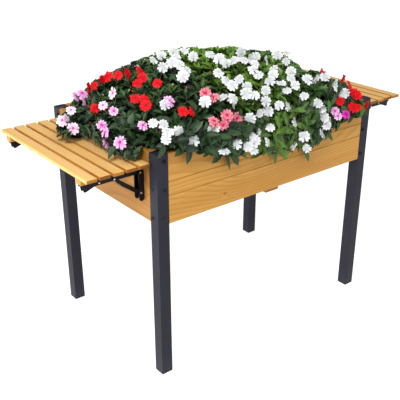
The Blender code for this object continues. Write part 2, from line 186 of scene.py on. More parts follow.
class Recipe:
    """A material in the making: a Principled shader and the nodes that feed it."""

    def __init__(self, name: str) -> None:
        """Starts an empty material.

        Args:
            name: The material's name.
        """
        self.material = bpy.data.materials.new(name)
        self.material.use_nodes = True
        self.tree = self.material.node_tree
        self.shader = self.tree.nodes["Principled BSDF"]

    def node(self, kind: str, settings: dict[str, Any],
             sockets: dict[str | int, Any]) -> bpy.types.Node:
        """Adds any node.

        Args:
            kind: The node's type.
            settings: Its properties, set first; "stops" is a ramp's (place, colour) pairs.
            sockets: Values or links of its inputs, by name or number.

        Returns:
            The new node.
        """
        node = self.tree.nodes.new(kind)
        for key, value in settings.items():
            if key == "stops":
                while len(node.color_ramp.elements) < len(value):
                    node.color_ramp.elements.new(1.0)
                for element, (place, colour) in zip(node.color_ramp.elements, value):
                    element.position = place
                    element.color = colour
            else:
                setattr(node, key, value)
        for key, value in sockets.items():
            self.feed(node.inputs[key], value)
        return node

    def feed(self, socket: bpy.types.NodeSocket, value: Any) -> None:
        """Links a wire or an output to a socket, or sets the socket's own value.

        Args:
            socket: The input.
            value: A wire, an output or a plain value.
        """
        if isinstance(value, Wire):
            value = value.socket
        if isinstance(value, bpy.types.NodeSocket):
            self.tree.links.new(value, socket)
        else:
            socket.default_value = value

    def wire(self, socket: bpy.types.NodeSocket) -> Wire:
        """A number socket as a wire."""
        return Wire(self.tree, socket)

    def place(self) -> tuple[Wire, Wire, Wire]:
        """The point's own X, Y and Z.

        Returns:
            The three coordinates, in metres.
        """
        coordinates = self.node("ShaderNodeTexCoord", {}, {})
        parts = self.node("ShaderNodeSeparateXYZ", {}, {0: coordinates.outputs["Object"]})
        return tuple(self.wire(socket) for socket in parts.outputs)

    def uv(self) -> tuple[Wire, Wire]:
        """The place on the piece's own UV map.

        Returns:
            U and V.
        """
        coordinates = self.node("ShaderNodeUVMap", {"uv_map": Blades.UV_NAME}, {})
        parts = self.node("ShaderNodeSeparateXYZ", {}, {0: coordinates.outputs[0]})
        return self.wire(parts.outputs[0]), self.wire(parts.outputs[1])

    def noise(self, vector: Sequence[Wire | float], detail: float = 2, rough: float = 0.5) -> Wire:
        """Noise from 0 to 1 at a vector of three wires or values.

        Args:
            vector: The place, scaled to the pattern.
            detail: How many finer layers it has.
            rough: How strong those are.

        Returns:
            The noise.
        """
        joined = self.node("ShaderNodeCombineXYZ", {}, dict(enumerate(vector)))
        made = self.node("ShaderNodeTexNoise", {}, {
            "Vector": joined.outputs[0], "Scale": 1.0, "Detail": detail, "Roughness": rough})
        return self.wire(made.outputs[0])

    def tone(self) -> Wire:
        """The blade's place between the two colours of its finish: random on petals, and on leaves
        partly painted light and shade by where the leaf grows.
        """
        node = self.node("ShaderNodeAttribute", {"attribute_name": Blades.TONE_NAME}, {})
        return self.wire(node.outputs["Fac"])

    def blend(self, low: Any, high: Any, factor: Wire | float) -> bpy.types.NodeSocket:
        """Mixes two colours."""
        node = self.node("ShaderNodeMix", {"data_type": "RGBA"}, {0: factor, 6: low, 7: high})
        return node.outputs[2]

    def bump(self, height: Wire, depth: float, strength: float = 1.0) -> None:
        """Gives the surface a relief of that depth in metres.

        Args:
            height: The relief, from 0 to 1.
            depth: Its depth.
            strength: How much of it shows.
        """
        node = self.node("ShaderNodeBump", {}, {
            "Height": height, "Distance": depth, "Strength": strength})
        self.feed(self.shader.inputs["Normal"], node.outputs[0])

    def finish(self, **sockets: Any) -> bpy.types.Material:
        """Feeds the shader and gives the finished material.

        Args:
            sockets: The shader's sockets, with _ for each space in the name.

        Returns:
            The material.
        """
        for name, value in sockets.items():
            self.feed(self.shader.inputs[name.replace("_", " ")], value)
        return self.material


class Grain(Enum):
    """Which way the wood's fibres run, as the order of the axes: along, across and depth."""

    X = (0, 1, 2)
    Y = (1, 0, 2)
    Z = (2, 0, 1)


@dataclass(frozen=True)
class Pine:
    """Stained softwood with growth rings, streaks, fibres and a few knots."""

    pale: Colour
    warm: Colour
    dark: Colour
    grain: Grain
    # Colours of the cut ends, and of the painted shade (shade) along seams and down the sides of
    # slats.
    sawn: Colour = srgb(100, 56, 14)
    shade: Colour = srgb(168, 104, 22)
    ring: float = 7.0 * MM
    heart: tuple[float, float] = (0.05, 0.11)
    knots: tuple[tuple[float, float, float], ...] = ()
    streak: float = 0.5
    gloss: float = 0.5
    # Seams darken the joints between boards; on the slats they, lit_above and lit_beyond place
    # painted shade in the gaps between slats.
    seams: tuple[float, float] = (-1.0, 10.0)
    seam_axis: int = 2
    seam_reach: float = 2.6 * MM
    lit_above: float = -1.0
    lit_beyond: float = 10.0
    end_at: float = 10.0
    end_dark: float = 0.0

    def material(self, name: str, seed: float) -> bpy.types.Material:
        """Makes the finish of one board.

        Args:
            name: The material's name.
            seed: Moves the pattern, so that no two boards are alike.

        Returns:
            The material.
        """
        recipe = Recipe(name)
        place = recipe.place()
        along, across, depth = (place[axis] for axis in self.grain.value)
        sway = recipe.noise((along * 1.5 + seed, across * 4.0, depth * 4.0), detail=1)
        drift = recipe.noise((along * 1.1 + seed * 2, across * 3.0 + 7.0, depth * 3.0), detail=1)
        heart_across = self.heart[0] * math.sin(seed * 2.3)
        one = across - heart_across + (sway - 0.5) * 0.09
        two = depth - 0.65 - self.heart[1] + (drift - 0.5) * 0.12
        radius = (one * one + two * two) ** 0.5
        knot_dark: Wire | float = 0.0
        for knot_along, knot_height, knot_size in self.knots:
            near = ((along - knot_along) ** 2 * 0.35 + (depth - knot_height) ** 2) ** 0.5
            pull = 1 - near.between(0.0, knot_size * 3.0)
            radius = radius + pull * 0.012
            knot_dark = (1 - near.between(knot_size * 0.35, knot_size)) * 0.85 + knot_dark
        rings = (radius * (1 / self.ring)).step("FRACT")
        late = rings ** 2.6
        late = late * (1 - rings.between(0.94, 1.0))
        broad = recipe.noise((along * 1.3 + seed, across * 24.0, depth * 24.0), detail=3, rough=0.6)
        fibre = recipe.noise((along * 14.0, across * 420.0, depth * 420.0 + seed), detail=3)
        cloud = recipe.noise((along * 3.0 + seed, across * 6.0, depth * 6.0), detail=2)
        colour = recipe.blend(self.pale, self.warm, broad.between(0.32, 0.68) * self.streak
                              + late * 0.34 + (fibre - 0.5) * 0.3)
        colour = recipe.blend(colour, self.dark,
                              late * 0.3 + cloud.between(0.5, 0.8) * 0.16 + knot_dark)
        # Darker towards the seams: a dark joint line between boards, and painted shade along the
        # gaps between slats.
        spot = place[self.seam_axis]
        edge = (spot - self.seams[0]).step("MINIMUM", self.seams[1] - spot)
        seam = 1 - edge.between(0.4 * MM, self.seam_reach)
        # Painted shade: below the lit top, the sides of each slat are darkened as if in the shade
        # of the gaps; the outer side of the outermost slats stays light.
        sawn = 1 - place[2].between(self.lit_above - 1.4 * MM, self.lit_above)
        beyond = across.step("ABSOLUTE").between(self.lit_beyond, self.lit_beyond + 1 * MM)
        sawn = sawn * (1 - beyond)
        end = along.step("ABSOLUTE").between(self.end_at, self.end_at + 1 * MM) * self.end_dark
        rough = recipe.noise((place[0] * 300.0, place[1] * 300.0, place[2] * 300.0), detail=2)
        colour = recipe.blend(colour, self.shade, (seam * 0.6).step("MAXIMUM", sawn * 0.9))
        colour = recipe.blend(colour, self.sawn, end * (0.7 + rough * 0.3))
        recipe.bump(late * 0.5 + fibre * 0.5, 0.25 * MM, 0.5)
        return recipe.finish(Base_Color=colour, Roughness=self.gloss + (fibre - 0.5) * 0.2,
                             Specular_IOR_Level=0.16)


@dataclass(frozen=True)
class PowderCoat:
    """Powder-coated steel: a fine dimpled skin with faint scuffs and dust."""

    base: Colour
    dust: Colour
    gloss: float = 0.42
    dimple: float = 0.06 * MM

    def material(self, name: str, seed: float = 0.0) -> bpy.types.Material:
        """Makes the finish of one steel piece.

        Args:
            name: The material's name.
            seed: Moves the pattern, so that no two pieces are alike.

        Returns:
            The material.
        """
        recipe = Recipe(name)
        x, y, z = recipe.place()
        dimples = recipe.noise((x * 1100.0, y * 1100.0, z * 1100.0), detail=1)
        patches = recipe.noise((x * 9.0 + seed, y * 9.0, z * 3.0), detail=3)
        scuffs = recipe.noise((x * 60.0, y * 60.0, z * 8.0 + seed), detail=4, rough=0.7)
        low = 1 - z.between(0.0, 0.09)
        wear = scuffs.between(0.58, 0.8) * 0.25 + low * 0.2 + patches.between(0.45, 0.75) * 0.18
        recipe.bump(dimples, self.dimple, 0.7)
        return recipe.finish(
            Base_Color=recipe.blend(self.base, self.dust, wear), Specular_IOR_Level=0.14,
            Roughness=self.gloss + (patches - 0.5) * 0.14 + scuffs * 0.05)


@dataclass(frozen=True)
class BareSteel:
    """Zinc-plated rivets and screws."""

    base: Colour = srgb(205, 206, 210)

    def material(self, name: str) -> bpy.types.Material:
        """Makes the finish of the small bright fasteners.

        Args:
            name: The material's name.

        Returns:
            The material.
        """
        recipe = Recipe(name)
        x, y, z = recipe.place()
        marks = recipe.noise((x * 700.0, y * 700.0, z * 700.0), detail=3)
        colour = recipe.blend(self.base, srgb(150, 150, 155), marks.between(0.4, 0.75))
        recipe.bump(marks, 0.04 * MM, 0.4)
        return recipe.finish(Base_Color=colour, Metallic=1.0, Roughness=0.24 + marks * 0.2)


@dataclass(frozen=True)
class BlackPlastic:
    """Moulded feet with a fine spark texture, dusty near the ground."""

    base: Colour = srgb(22, 22, 24)

    def material(self, name: str) -> bpy.types.Material:
        """Makes the finish of the feet.

        Args:
            name: The material's name.

        Returns:
            The material.
        """
        recipe = Recipe(name)
        x, y, z = recipe.place()
        spark = recipe.noise((x * 1600.0, y * 1600.0, z * 1600.0), detail=2)
        dust = (1 - z.between(0.0, 0.006)) * recipe.noise((x * 90.0, y * 90.0, z * 90.0), detail=3)
        recipe.bump(spark, 0.05 * MM, 0.8)
        return recipe.finish(Base_Color=recipe.blend(self.base, srgb(105, 98, 88), dust * 0.5),
                             Roughness=0.5 + spark * 0.25)


@dataclass(frozen=True)
class LinerCloth:
    """Black needle-felt cloth."""

    def material(self, name: str) -> bpy.types.Material:
        """Makes the finish of the liner.

        Args:
            name: The material's name.

        Returns:
            The material.
        """
        recipe = Recipe(name)
        x, y, z = recipe.place()
        felt = recipe.noise((x * 500.0, y * 500.0, z * 500.0), detail=5, rough=0.7)
        damp = recipe.noise((x * 14.0, y * 14.0, z * 30.0), detail=2)
        recipe.bump(felt, 0.4 * MM, 0.9)
        colour = recipe.blend(srgb(20, 20, 21), srgb(52, 50, 48), felt * 0.6 + damp * 0.2)
        return recipe.finish(Base_Color=colour, Roughness=0.95 - damp * 0.15)


@dataclass(frozen=True)
class Compost:
    """Moist potting soil with bark and pale perlite grains."""

    def material(self, name: str) -> bpy.types.Material:
        """Makes the finish of the soil.

        Args:
            name: The material's name.

        Returns:
            The material.
        """
        recipe = Recipe(name)
        x, y, z = recipe.place()
        clods = recipe.noise((x * 130.0, y * 130.0, z * 130.0), detail=6, rough=0.65)
        tint = recipe.noise((x * 18.0, y * 18.0, z * 18.0), detail=3)
        grains = recipe.noise((x * 420.0, y * 420.0, z * 420.0), detail=1)
        earth = recipe.blend(srgb(34, 24, 17), srgb(84, 60, 42), clods.between(0.3, 0.75))
        earth = recipe.blend(earth, srgb(48, 32, 22), tint * 0.6)
        colour = recipe.blend(earth, srgb(205, 200, 190), grains.between(0.74, 0.78))
        recipe.bump(clods + grains * 0.3, 3 * MM, 0.8)
        return recipe.finish(Base_Color=colour, Roughness=0.9 - clods * 0.1)


@dataclass(frozen=True)
class LeafSkin:
    """A smooth leaf with a pale midrib, side veins and a lighter underside."""

    shade: Colour
    sun: Colour
    vein: Colour
    under: Colour
    gloss: float = 0.36

    def material(self, name: str) -> bpy.types.Material:
        """Makes the finish of one plant's leaves.

        Args:
            name: The material's name.

        Returns:
            The material.
        """
        recipe = Recipe(name)
        u, v = recipe.uv()
        tone = recipe.tone()
        x, y, z = recipe.place()
        off = (u - 0.5).step("ABSOLUTE")
        below = v.between(1.4, 1.6)
        along = v - below * 2.0
        midrib = 1 - off.between(0.012, 0.05)
        waves = ((along - off * 0.55) * 46.0).step("SINE")
        ribs = waves.between(0.72, 1.0) * off.between(0.02, 0.1) * (1 - off.between(0.36, 0.5))
        mottle = recipe.noise((x * 120.0, y * 120.0, z * 120.0), detail=3)
        # Each leaf's place between shade and sun carries painted light and shade as well as random
        # variation.
        body = recipe.blend(self.shade, self.sun, tone * 0.85 + (mottle - 0.5) * 0.4)
        body = recipe.blend(body, self.shade, off.between(0.3, 0.5) * 0.25)
        body = recipe.blend(body, self.under, below * 0.7)
        colour = recipe.blend(body, self.vein, midrib * 0.62 + ribs * 0.22)
        recipe.bump(mottle * 0.3 - ribs - midrib * 1.4, 0.5 * MM, 0.55)
        return recipe.finish(Base_Color=colour, Roughness=self.gloss + below * 0.2 + mottle * 0.1,
                             Specular_IOR_Level=0.35)


@dataclass(frozen=True)
class PetalSkin:
    """A petal with a coloured eye at its base and faint veins."""

    petal: Colour
    edge: Colour
    eye: Colour
    reach: float = 0.2

    def material(self, name: str) -> bpy.types.Material:
        """Makes the finish of one variety's petals.

        Args:
            name: The material's name.

        Returns:
            The material.
        """
        recipe = Recipe(name)
        u, v = recipe.uv()
        tone = recipe.tone()
        along = v - v.between(1.4, 1.6) * 2.0
        veins = ((u - 0.5) * 60.0).step("COSINE").between(0.5, 1.0) * (1 - along.between(0.4, 0.95))
        colour = recipe.blend(self.petal, self.edge, along.between(0.3, 1.0) * 0.7 + tone * 0.3)
        colour = recipe.blend(colour, self.eye, veins * 0.08)
        colour = recipe.blend(self.eye, colour, along.between(self.reach * 0.4, self.reach * 1.4))
        recipe.bump(veins, 0.25 * MM, 0.4)
        return recipe.finish(Base_Color=colour, Roughness=0.55, Specular_IOR_Level=0.15)


@dataclass(frozen=True)
class Succulent:
    """Fleshy stems, stalks and buds, in two mottled colours."""

    low: Colour
    high: Colour
    gloss: float = 0.4

    def material(self, name: str) -> bpy.types.Material:
        """Makes the finish of stems or buds.

        Args:
            name: The material's name.

        Returns:
            The material.
        """
        recipe = Recipe(name)
        x, y, z = recipe.place()
        mottle = recipe.noise((x * 55.0, y * 55.0, z * 30.0), detail=3)
        ribs = recipe.noise((x * 800.0, y * 800.0, z * 60.0), detail=1)
        recipe.bump(ribs, 0.15 * MM, 0.5)
        colour = recipe.blend(self.low, self.high, mottle.between(0.35, 0.7))
        return recipe.finish(Base_Color=colour, Roughness=self.gloss + ribs * 0.1)


def activate(piece: bpy.types.Object) -> None:
    """Selects one piece alone and makes it the active one.

    Args:
        piece: The piece.
    """
    bpy.ops.object.select_all(action="DESELECT")
    piece.select_set(True)
    bpy.context.view_layer.objects.active = piece


@contextmanager
def editing(piece: bpy.types.Object) -> Iterator[None]:
    """Opens a piece in edit mode with nothing selected, and closes it again.

    Args:
        piece: The piece.

    Yields:
        Nothing, while the piece is open.
    """
    activate(piece)
    bpy.ops.object.mode_set(mode="EDIT")
    bpy.ops.mesh.select_all(action="DESELECT")
    yield
    bpy.ops.object.mode_set(mode="OBJECT")


def pick(piece: bpy.types.Object, kind: str, test: Callable[[Any], bool]) -> None:
    """Selects only what passes a test, in edit mode.

    Args:
        piece: The piece that is being edited.
        kind: "VERT", "EDGE" or "FACE".
        test: Says of each vertex, edge or face whether it is selected.
    """
    bpy.ops.mesh.select_mode(type=kind)
    bpy.ops.mesh.select_all(action="DESELECT")
    mesh = bmesh.from_edit_mesh(piece.data)
    groups = {"VERT": mesh.verts, "EDGE": mesh.edges, "FACE": mesh.faces}
    for element in groups[kind]:
        if test(element):
            element.select_set(True)
    mesh.select_flush_mode()
    bmesh.update_edit_mesh(piece.data)


def link(name: str, data: bpy.types.ID) -> bpy.types.Object:
    """Puts a new object in the scene.

    Args:
        name: The object's name.
        data: Its mesh, curve, lamp or camera.

    Returns:
        The object.
    """
    made = bpy.data.objects.new(name, data)
    bpy.context.scene.collection.objects.link(made)
    return made


def smooth(piece: bpy.types.Object, degrees: float) -> None:
    """Smooths the shading of a piece, apart from edges that turn by more than an angle."""
    activate(piece)
    bpy.ops.object.shade_smooth_by_angle(angle=math.radians(degrees))


def settle(piece: bpy.types.Object) -> bpy.types.Object:
    """Moves a piece's place into its mesh, so that the object stands at the origin.

    Args:
        piece: The piece.

    Returns:
        The same piece.
    """
    activate(piece)
    bpy.ops.object.transform_apply(location=True, rotation=True, scale=True)
    return piece


def stamp(master: bpy.types.Object, name: str, places: Sequence[Matrix]) -> bpy.types.Object:
    """Copies a modelled piece to several places and joins the copies.

    Args:
        master: The piece that repeats, modelled at the origin.
        name: The joined piece's name.
        places: Where each copy goes.

    Returns:
        The joined piece.
    """
    copies = []
    for place in places:
        copy = link(name, master.data.copy())
        copy.data.transform(place)
        copies.append(copy)
    activate(copies[0])
    for copy in copies[1:]:
        copy.select_set(True)
    if len(copies) > 1:
        bpy.ops.object.join()
    joined = bpy.context.view_layer.objects.active
    joined.name = name
    return joined


def dress(piece: bpy.types.Object, material: bpy.types.Material) -> None:
    """Gives a piece one material."""
    piece.data.materials.clear()
    piece.data.materials.append(material)


def present(piece: bpy.types.Object, material: bpy.types.Material, body: str) -> None:
    """Dresses a new piece, hangs it on its body and reports it.

    Args:
        piece: The new piece.
        material: Its finish.
        body: The body that carries it.
    """
    dress(piece, material)
    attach(piece, body)
    LOG.info("%s: %d faces on %s", piece.name, len(piece.data.polygons), body)


def aim(direction: Vector, place: Vector) -> Matrix:
    """A placement whose +Z points along a direction."""
    return Matrix.Translation(place) @ direction.to_track_quat("Z", "Y").to_matrix().to_4x4()


@dataclass
class Studio:
    """The camera at the photograph's viewpoint, the soft light and the pale floor."""

    place: Vector = field(default_factory=lambda: Vector((-1.4950, -1.8062, 1.4592)))
    yaw: float = math.radians(38.324)
    pitch: float = math.radians(24.667)
    roll: float = math.radians(-0.064)
    focal_pixels: float = 695.4
    image_pixels: float = 400.0
    sensor: float = 36.0
    target: Vector = field(default_factory=lambda: Vector((0, 0, 0.65)))
    surround: float = 0.47
    floor_size: float = 60.0
    floor_glow: float = 0.82
    wall_radius: float = 29.0
    wall_height: float = 4.0
    wall_z: float = 1.9

    def axes(self) -> tuple[Vector, Vector, Vector]:
        """The camera's right, up and forward directions.

        Returns:
            The three directions.
        """
        forward = Vector((math.sin(self.yaw) * math.cos(self.pitch),
                          math.cos(self.yaw) * math.cos(self.pitch), -math.sin(self.pitch)))
        right = Vector((math.cos(self.yaw), -math.sin(self.yaw), 0))
        top = right.cross(forward)
        turn = Matrix.Rotation(-self.roll, 3, forward)
        return turn @ right, turn @ top, forward

    def ray(self, across: float, down: float) -> Vector:
        """The direction in which the camera sees a pixel of the photograph.

        Args:
            across: The pixel's distance from the left edge.
            down: The pixel's distance from the top edge.

        Returns:
            The direction from the camera, of length 1.
        """
        right, top, forward = self.axes()
        middle = self.image_pixels / 2
        sideways = right * (across - middle) / self.focal_pixels
        upwards = top * (middle - down) / self.focal_pixels
        return (forward + sideways + upwards).normalized()

    def pixels(self, points: np.ndarray) -> tuple[np.ndarray, np.ndarray]:
        """Where the camera sees places, as distances in pixels from the left and top edges.

        Args:
            points: The places, one in each row.

        Returns:
            The distances across and down.
        """
        right, top, forward = (np.array(axis) for axis in self.axes())
        seen = points - np.array(self.place)
        scale = self.focal_pixels / (seen @ forward)
        middle = self.image_pixels / 2
        return middle + seen @ right * scale, middle - seen @ top * scale

    def point(self, across: float, down: float, normal: Vector, distance: float) -> Vector:
        """The place where the camera sees a pixel on a plane.

        Args:
            across: The pixel's distance from the left edge.
            down: The pixel's distance from the top edge.
            normal: The plane's direction.
            distance: How far the plane stands from the origin that way.

        Returns:
            The place.
        """
        ray = self.ray(across, down)
        return self.place + ray * ((distance - normal.dot(self.place)) / normal.dot(ray))

    def add_camera(self) -> None:
        """Sets up the camera."""
        data = bpy.data.cameras.new("camera")
        data.sensor_width = self.sensor
        data.lens = self.sensor * self.focal_pixels / self.image_pixels
        camera = link("camera", data)
        right, top, forward = self.axes()
        turned = Matrix((right, top, -forward)).transposed()
        camera.matrix_world = Matrix.Translation(self.place) @ turned.to_4x4()
        bpy.context.scene.camera = camera

    def add_softbox(self, name: str, place: Vector, size: float, power: float) -> None:
        """Hangs one square soft light that points at the bed.

        Args:
            name: The lamp's name.
            place: Where it hangs.
            size: The length of its side.
            power: Its power in watts.
        """
        data = bpy.data.lights.new(name, "AREA")
        data.shape = "SQUARE"
        data.size = size
        data.energy = power
        link(name, data).matrix_world = aim(place - self.target, place)

    def add_light(self) -> None:
        """Sets up an even white surround and the soft lights."""
        world = bpy.data.worlds.new("surround")
        world.use_nodes = True
        background = world.node_tree.nodes["Background"]
        background.inputs["Color"].default_value = (1, 1, 1, 1)
        background.inputs["Strength"].default_value = self.surround
        bpy.context.scene.world = world
        self.add_softbox("key_light", Vector((-1.9, -1.3, 3.0)), 1.2, 85.0)
        self.add_softbox("left_light", Vector((-2.4, 0.8, 0.75)), 1.0, 32.0)
        self.add_softbox("top_light", Vector((0.5, -1.4, 3.2)), 1.2, 20.0)
        self.add_softbox("rim_light", Vector((2.0, 2.5, 2.4)), 1.8, 9.0)
        bpy.context.scene.view_settings.view_transform = "Standard"

    def add_floor(self) -> None:
        """Lays the floor, with a low pale wall far around it."""
        bpy.ops.mesh.primitive_plane_add(size=self.floor_size)
        floor = bpy.context.object
        floor.name = "floor"
        bpy.ops.mesh.primitive_cylinder_add(
            vertices=64, radius=self.wall_radius, depth=self.wall_height,
            end_fill_type="NOTHING", location=(0, 0, self.wall_z))
        wall = bpy.context.object
        wall.name = "far_wall"
        recipe = Recipe("pale_floor")
        pale = recipe.finish(Base_Color=(0.5, 0.5, 0.5, 1), Roughness=0.95, Specular_IOR_Level=0.0,
                             Emission_Strength=self.floor_glow, Emission_Color=(1, 1, 1, 1))
        for surface in (floor, wall):
            dress(surface, pale)


@dataclass
class Timber:
    """The wooden CAD pieces: boards, posts, floor, bar, slats and battens."""

    shelf_edge: float = 672 * MM
    # seam_push moves the outermost slats' outer seams off the slat, so that the painted gap shade
    # stays off the shelf's outer edges.
    seam_push: float = 20 * MM
    board_pale: Colour = srgb(195, 146, 72)
    board_warm: Colour = srgb(172, 118, 44)
    board_dark: Colour = srgb(142, 90, 28)
    shelf_pale: Colour = srgb(220, 180, 114)
    shelf_warm: Colour = srgb(202, 154, 84)
    shelf_dark: Colour = srgb(158, 108, 44)
    # Painted shade: these colours are darker than the front's, as the ends lie in shade under the
    # shelves and the bar in shade under the bed.
    end_pale: Colour = srgb(163, 117, 55)
    end_warm: Colour = srgb(141, 93, 35)
    end_dark: Colour = srgb(117, 71, 21)
    sawn_ends: tuple[float, ...] = (0.8, 0.85, 0.15, 0.95, 0.3)

    def board(self, grain: Grain, **changes: Any) -> Pine:
        """The bed's honey-coloured wood."""
        return Pine(self.board_pale, self.board_warm, self.board_dark, grain, **changes)

    def shelf(self, grain: Grain, **changes: Any) -> Pine:
        """The shelves' paler wood."""
        return Pine(self.shelf_pale, self.shelf_warm, self.shelf_dark, grain, **changes)

    def end(self, grain: Grain, **changes: Any) -> Pine:
        """The bed's ends and the bar under it, in wood colours darkened for painted shade."""
        return Pine(self.end_pale, self.end_warm, self.end_dark, grain, **changes)

    def finish_of(self, name: str) -> Pine | None:
        """The wood of a CAD node, by its name, or None where it isn't wood.

        Args:
            name: The node's name.

        Returns:
            The wood, or None.
        """
        low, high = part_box(name)
        if "slat" in name:
            outermost = self.shelf_edge - 1 * MM
            seams = (low.x - self.seam_push * (low.x < -outermost),
                     high.x + self.seam_push * (high.x > outermost))
            # Slats: painted shade along their gaps and on their sides below the top, but not on the
            # shelf's outer edges.
            return self.shelf(Grain.Y, ring=5 * MM, streak=0.55, lit_above=high.z - 0.4 * MM,
                              lit_beyond=outermost - 1 * MM, seams=seams, seam_axis=0,
                              seam_reach=3.6 * MM, end_at=high.y - 2 * MM,
                              end_dark=self.sawn_ends[int(name[-1]) - 1])
        if "batten" in name:
            return self.board(Grain.X, ring=5 * MM)
        if "corner_post" in name:
            return self.board(Grain.Z)
        # The ends and the cross bar take the darker, painted-shade colours.
        if name.startswith(("left_board", "right_board")):
            return self.end(Grain.Y, seams=(low.z, high.z),
                            knots=((0.07, 0.606, 7 * MM), (-0.16, 0.71, 5 * MM)))
        if name == "cross_bar":
            return self.end(Grain.Y)
        if "board" in name:
            return self.board(Grain.X, seams=(low.z, high.z),
                              knots=((-0.21, 0.575, 6 * MM), (0.33, 0.70, 5 * MM)))
        return None

    def dress_all(self) -> None:
        """Gives every wooden CAD node its own board of wood."""
        for order, (name, node) in enumerate(sorted(frame["nodes"].items())):
            finish = self.finish_of(name)
            if finish:
                dress(node, finish.material(f"{name}_wood", 1.7 * order))
                LOG.info("%s: wood", name)


@dataclass
class Ironwork:
    """The steel legs, the plastic feet and the black brackets, with bolts, screws and rivets."""

    bolt_rows: tuple[float, ...] = (0.737, 0.646, 0.555)
    bolt_inset: float = 27 * MM
    bolt_from_edge: float = 30 * MM
    bolt_radius: float = 4.8 * MM
    bolt_height: float = 2.8 * MM
    socket: float = 2.3 * MM
    washer: float = 1.2 * MM
    rivet_radius: float = 3.1 * MM
    rivet_height: float = 1.0 * MM
    screw_radius: float = 3.4 * MM
    screw_height: float = 1.6 * MM
    bracket_y: float = 225 * MM
    plate_face: float = 14.2 * MM
    strut_face: float = 10.7 * MM
    arm_face: float = 7.4 * MM
    strut_top: tuple[float, float] = (0.562, 0.692)
    arm_middle: tuple[float, float] = (0.610, 0.6925)
    plate_screws: tuple[float, ...] = (0.638, 0.659, 0.680)
    plate_screw_base: float = 2 * MM
    arm_screws: tuple[float, ...] = (0.500, 0.575, 0.650)
    arm_screw_z: float = 0.698
    flange: float = 1.4 * MM
    flange_width: float = 16 * MM
    flange_sunk: float = 0.2 * MM
    flange_ends: tuple[float, float] = (0.488, 0.640)
    bracket_coat: PowderCoat = PowderCoat(srgb(14, 14, 17), srgb(46, 46, 50), gloss=0.36)

    def dress_frame(self) -> None:
        """Gives the CAD nodes of steel and plastic their finish."""
        legs = PowderCoat(srgb(31, 32, 42), srgb(62, 64, 78), gloss=0.44)
        foot = BlackPlastic().material("foot_plastic")
        for order, (name, node) in enumerate(sorted(frame["nodes"].items())):
            if name.startswith("leg_"):
                dress(node, legs.material(f"{name}_coat", 3.1 * order))
            elif name.startswith("foot_"):
                dress(node, foot)
            elif any(word in name for word in ("wall_plate", "_arm_", "_strut_")):
                dress(node, self.bracket_coat.material(f"{name}_coat", 2.3 * order))
        LOG.info("legs, feet and brackets: finished")

    def model_bolt(self) -> bpy.types.Object:
        """Models one socket-head bolt with its washer, standing on the XY plane.

        Returns:
            The bolt.
        """
        bpy.ops.mesh.primitive_cylinder_add(vertices=24, radius=self.bolt_radius * 1.35,
                                            depth=self.washer, location=(0, 0, self.washer / 2))
        bolt = settle(bpy.context.object)
        top = self.washer
        with editing(bolt):
            pick(bolt, "FACE", lambda face: face.normal.z > 0.9)
            bpy.ops.mesh.inset(thickness=self.bolt_radius * 0.35)
            bpy.ops.mesh.extrude_region_move(
                TRANSFORM_OT_translate={"value": (0, 0, self.bolt_height)})
            bpy.ops.mesh.bevel(offset=self.bolt_height * 0.35, segments=2, affect="EDGES")
            pick(bolt, "FACE", lambda face: face.normal.z > 0.9
                 and face.calc_center_median().z > top + self.bolt_height * 0.9
                 and len(face.verts) > 8)
            bpy.ops.mesh.inset(thickness=self.bolt_radius * 0.65 - self.socket)
            bpy.ops.mesh.extrude_region_move(
                TRANSFORM_OT_translate={"value": (0, 0, -self.bolt_height * 0.7)})
        smooth(bolt, 35)
        return bolt

    def model_dome(self, radius: float, height: float, cross: bool) -> bpy.types.Object:
        """Models one low domed head on the XY plane.

        Args:
            radius: The head's radius.
            height: The head's height.
            cross: Whether the head has a dished driver recess.

        Returns:
            The head.
        """
        bpy.ops.mesh.primitive_cylinder_add(vertices=20, radius=radius, depth=height,
                                            location=(0, 0, height / 2))
        head = settle(bpy.context.object)
        with editing(head):
            pick(head, "FACE", lambda face: face.normal.z > 0.9)
            bpy.ops.transform.resize(value=(0.82, 0.82, 1), center_override=(0, 0, height))
            bpy.ops.mesh.inset(thickness=radius * 0.3, depth=height * 0.22)
            if cross:
                bpy.ops.mesh.inset(thickness=radius * 0.16)
                bpy.ops.mesh.extrude_region_move(
                    TRANSFORM_OT_translate={"value": (0, 0, -height * 0.6)})
        smooth(head, 40)
        return head

    def add_bolts(self) -> None:
        """Puts six bolts on each leg, three on each outer face."""
        master = self.model_bolt()
        coat = PowderCoat(srgb(26, 26, 29), srgb(120, 120, 125), gloss=0.3)
        material = coat.material("bolt_coat")
        for side in Side:
            for face in Face:
                low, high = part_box(f"leg_{face.word}_{side.word}")
                outer = Vector((high.x if side.value > 0 else low.x,
                                high.y if face.value > 0 else low.y))
                places = []
                for row in self.bolt_rows:
                    at_end = Vector((outer.x, outer.y - face.value * self.bolt_from_edge, row))
                    at_front = Vector((outer.x - side.value * self.bolt_inset, outer.y, row))
                    places.append(aim(Vector((side.value, 0, 0)), at_end))
                    places.append(aim(Vector((0, face.value, 0)), at_front))
                bolts = stamp(master, f"leg_bolts_{face.word}_{side.word}", places)
                present(bolts, material, "root")
        bpy.data.objects.remove(master)

